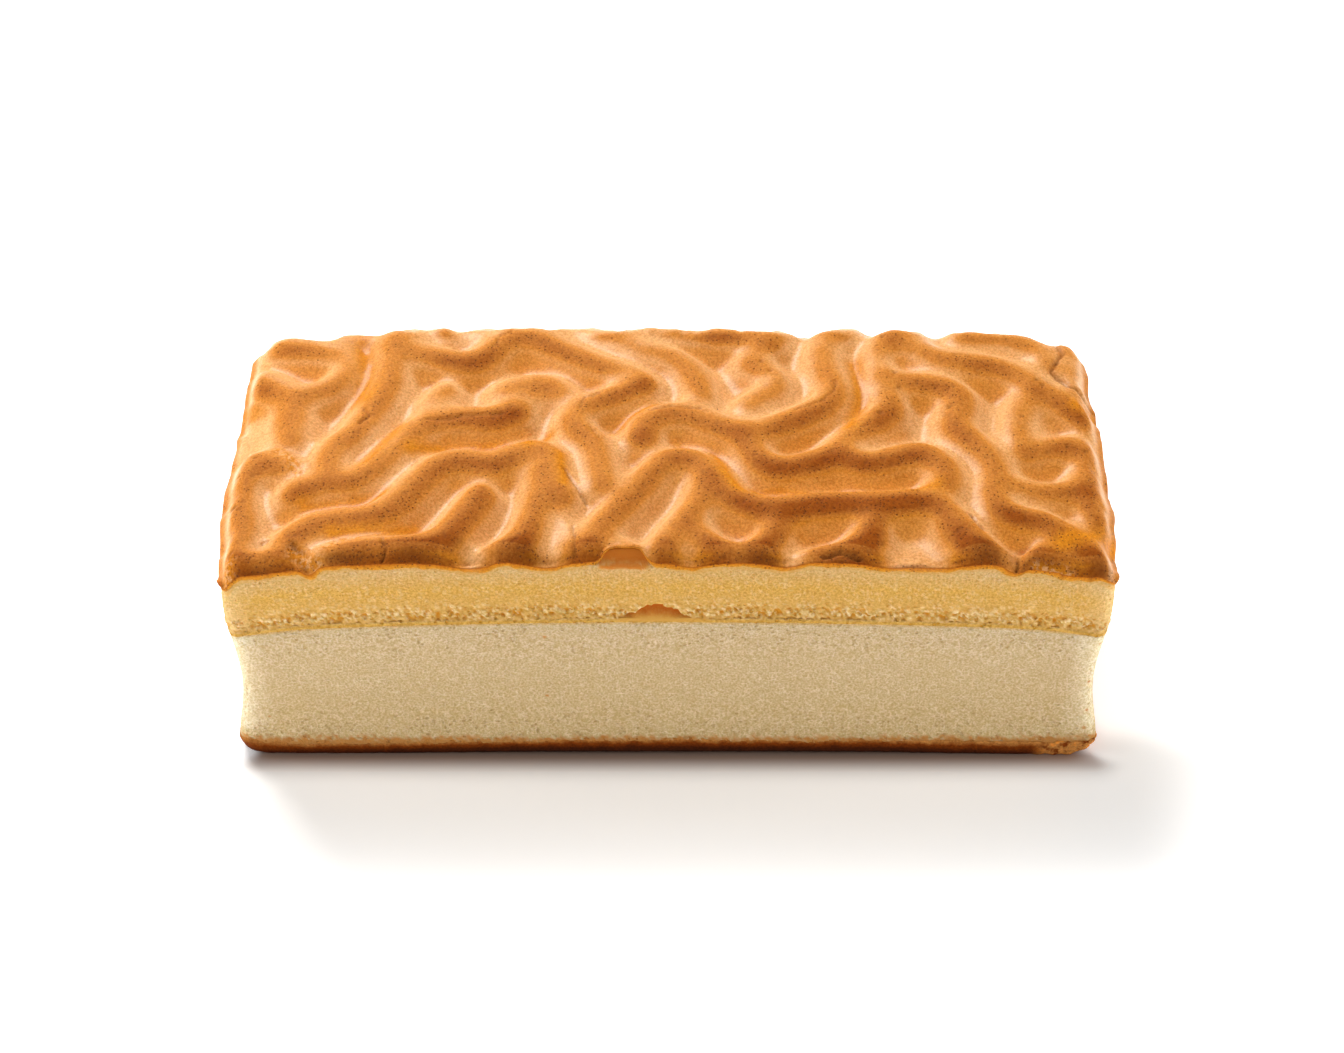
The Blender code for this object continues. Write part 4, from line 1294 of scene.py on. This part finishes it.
class CAKE_OT_bottom_crust(bpy.types.Operator):
    """Makes the browned crust round the foot of the sponge and under it"""

    bl_idname = "cake.bottom_crust"
    bl_label = "Bottom crust"

    def execute(self, context):
        looks = context.scene.cake_crumb
        edge_x, edge_y = edge_points()
        around = flat_points(edge_x, edge_y)
        front = edge_y < 1 - DEPTH / 2
        # In the middle of the front the crust curls up a little off the table, top and foot.
        risen = front * fading(np.abs(edge_x - 4), 22, 58)
        top = CRUST_TOP + 0.22 * clouds(around, 9.0, 81) + 0.16 * clouds(around, 1.2, 82)
        top = top + 0.6 * risen + 0.8 * smooth_step(-edge_x, 66, 74) * (edge_y < 0)
        lift = 0.12 + 0.65 * risen
        down = np.linspace(0.0, 1.0, CRUST_RINGS)[:, None]
        z = top * (1 - down) + lift * down
        rings = ring(z, waist(z))
        # It stands a little proud of the crumb, most at the right, where its corner is torn.
        torn = smooth_step(edge_x, 63.5, 67.5) * (edge_y < 10 - DEPTH / 2) + 0 * z
        proud = 0.18 * np.sin(math.pi * np.clip(down * 1.4, 0, 1)) - 0.12
        proud = proud + 0.06 * clouds(rings, 1.4, 83) + torn * 0.35 * clouds(rings, 1.5, 84)
        proud = proud + 0.25 * smooth_step(edge_x, 30, 70) * front
        rings = rings + outward(rings) * np.clip(proud, -0.3, 0.4)[..., None]
        # A ring tucked in behind the crumb and two under the bar close the crust.
        tuck = ring(top - 0.2, 1.8)
        under = np.stack([ring(0.6 * lift, 2.2), core_ring(0 * edge_x, 4.5)])
        rings = np.concatenate([tuck[None], rings, under])
        baked = down * (1 - 0.3 * smooth_step(np.abs(edge_x), 40.0, 72.0))
        below = np.ones((len(under), len(edge_x)))
        values = {
            "depth": np.concatenate([0 * baked[:1], baked, below]),
            "torn": np.concatenate([torn[:1], torn, 0 * below]),
        }
        sleeve("bottom_crust", rings, values, crust_material(looks), "sponge")
        return {"FINISHED"}


# ---------------------------------------------------------------------------------------------
# The stage.

# The camera: its place in metres, its lens and sensor in millimetres.
CAMERA_PLACE = (0.0007, -0.3945, 0.3813)
CAMERA_TILT = 48.0  # from straight down, in degrees
CAMERA_LENS = 80.36
CAMERA_SENSOR = 36.0
WHITE = (1.0, 1.0, 1.0)

# The floor, in metres: its size, half the length and depth of the foot that its painted shadow
# lies round, how far that lies to the right, the width of the painted shadow, and where the floor's
# painted glow comes up.
FLOOR_SIZE = 6.0
FOOT_HALVES = ((LENGTH / 2 - 2.5) * MM, DEPTH / 2 * MM, 0.0)
FOOT_SHIFT = (0.0015, 0.0, 0.0)
SHADE_WIDTH = 0.005
NEAR_GLOW = (0.0, 0.0075)
FAR_GLOW = (0.010, 0.045)

# Where the floor stays bright beside the ends: from these x outwards and from these y backwards.
BEYOND_ENDS = (0.069, 0.078)
BEHIND_CORNERS = (-0.034, -0.018)


def area_light(name, place, size, power, colour=WHITE):
    """A square light that faces the middle of the bar."""
    lamp = bpy.data.lights.new(name, "AREA")
    lamp.size = size
    lamp.energy = power
    lamp.color = colour
    light = bpy.data.objects.new(name, lamp)
    light.location = place
    aim = Vector((0.0, 0.0, 0.03)) - light.location
    light.rotation_euler = aim.to_track_quat("-Z", "Y").to_euler()
    bpy.context.scene.collection.objects.link(light)


def floor_material(looks):
    """White floor with a painted glow, and a soft painted shadow in its colour round the foot of the bar.

    Both follow the distance from the foot. Beside the ends, behind the front corners, the floor
    counts as further away, because it stays bright there.
    """
    material, wiring, paint = new_material("floor", 0.8, 0.2, 0.0, WHITE)
    place = wiring.vector("SUBTRACT", wiring.place(), FOOT_SHIFT)[0]
    away = wiring.vector("SUBTRACT", wiring.vector("ABSOLUTE", place)[0], FOOT_HALVES)[0]
    away = wiring.vector("LENGTH", wiring.vector("MAXIMUM", away)[0])["Value"]
    parts = wiring.add("SeparateXYZ", {0: wiring.place()}).outputs
    beyond = wiring.range(wiring.math("ABSOLUTE", parts["X"]), *BEYOND_ENDS)
    further = wiring.times(beyond, wiring.range(parts["Y"], *BEHIND_CORNERS, 0.0, FAR_GLOW[1]))
    away = wiring.math("ADD", away, further)
    stops = ((0.0, looks.floor_painted_shadow), (1.0, looks.floor))
    wiring.link(wiring.ramp(wiring.range(away, 0.0, SHADE_WIDTH), stops), paint["Base Color"])
    # Painted glow that grows with the distance from the bar and lifts its shadows.
    near = wiring.range(away, *NEAR_GLOW, 0.0, 0.5 * looks.floor_glow)
    far = wiring.range(away, *FAR_GLOW, 0.0, 0.5 * looks.floor_glow)
    paint["Emission Color"].default_value = rgba(WHITE)
    wiring.link(wiring.math("ADD", near, far), paint["Emission Strength"])
    return material


class CAKE_OT_stage(bpy.types.Operator):
    """Sets the floor, the soft light from behind and the camera"""

    bl_idname = "cake.stage"
    bl_label = "Stage"

    def execute(self, context):
        looks = context.scene.cake_stage
        scene = context.scene
        bpy.ops.mesh.primitive_plane_add(size=FLOOR_SIZE)
        floor = context.active_object
        floor.name = "floor"
        floor.data.materials.append(floor_material(looks))

        world = bpy.data.worlds.new("studio")
        world.use_nodes = True
        sky = world.node_tree.nodes["Background"].inputs
        sky["Color"].default_value = rgba(WHITE)
        sky["Strength"].default_value = looks.sky
        scene.world = world
        area_light("key", (-0.26, 0.57, 0.70), 0.45, looks.key, (1.0, 0.98, 0.95))
        area_light("left", (-0.75, -0.1, 0.22), 0.5, looks.side)
        area_light("right", (0.75, -0.1, 0.22), 0.5, looks.side)
        area_light("fill", (0.05, -0.9, 0.12), 0.4, looks.fill)

        lens = bpy.data.cameras.new("camera")
        lens.lens = CAMERA_LENS
        lens.sensor_width = CAMERA_SENSOR
        camera = bpy.data.objects.new("camera", lens)
        camera.location = CAMERA_PLACE
        camera.rotation_euler = (math.radians(CAMERA_TILT), 0.0, 0.0)
        scene.collection.objects.link(camera)
        scene.camera = camera
        scene.view_settings.view_transform = "Standard"
        return {"FINISHED"}


class CAKE_PT_panel(bpy.types.Panel):
    """Lists the cake's pieces and their settings"""

    bl_idname = "CAKE_PT_panel"
    bl_label = "Tiger skin cake"
    bl_space_type = "VIEW_3D"
    bl_region_type = "UI"
    bl_category = "Cake"

    def draw(self, context):
        for operator in OPERATORS:
            self.layout.operator(operator.bl_idname)
        for settings in (context.scene.cake_skin, context.scene.cake_crumb, context.scene.cake_stage):
            column = self.layout.column()
            for name in settings.__annotations__:
                column.prop(settings, name)


OPERATORS = (
    CAKE_OT_sponge,
    CAKE_OT_bottom_crust,
    CAKE_OT_filling,
    CAKE_OT_yolk_crumb,
    CAKE_OT_skin,
    CAKE_OT_stage,
)
SETTINGS = {"cake_skin": CakeSkinLooks, "cake_crumb": CakeCrumbLooks, "cake_stage": CakeStageLooks}


def register():
    for kind in (*SETTINGS.values(), *OPERATORS, CAKE_PT_panel):
        bpy.utils.register_class(kind)
    for name, kind in SETTINGS.items():
        setattr(bpy.types.Scene, name, PointerProperty(type=kind))


def unregister():
    for name in SETTINGS:
        delattr(bpy.types.Scene, name)
    for kind in (CAKE_PT_panel, *reversed(OPERATORS), *reversed(SETTINGS.values())):
        bpy.utils.unregister_class(kind)


def main():
    register()
    bpy.ops.cake.sponge()
    bpy.ops.cake.bottom_crust()
    bpy.ops.cake.filling()
    bpy.ops.cake.yolk_crumb()
    bpy.ops.cake.skin()
    bpy.ops.cake.stage()


if __name__ == "__main__":
    main()
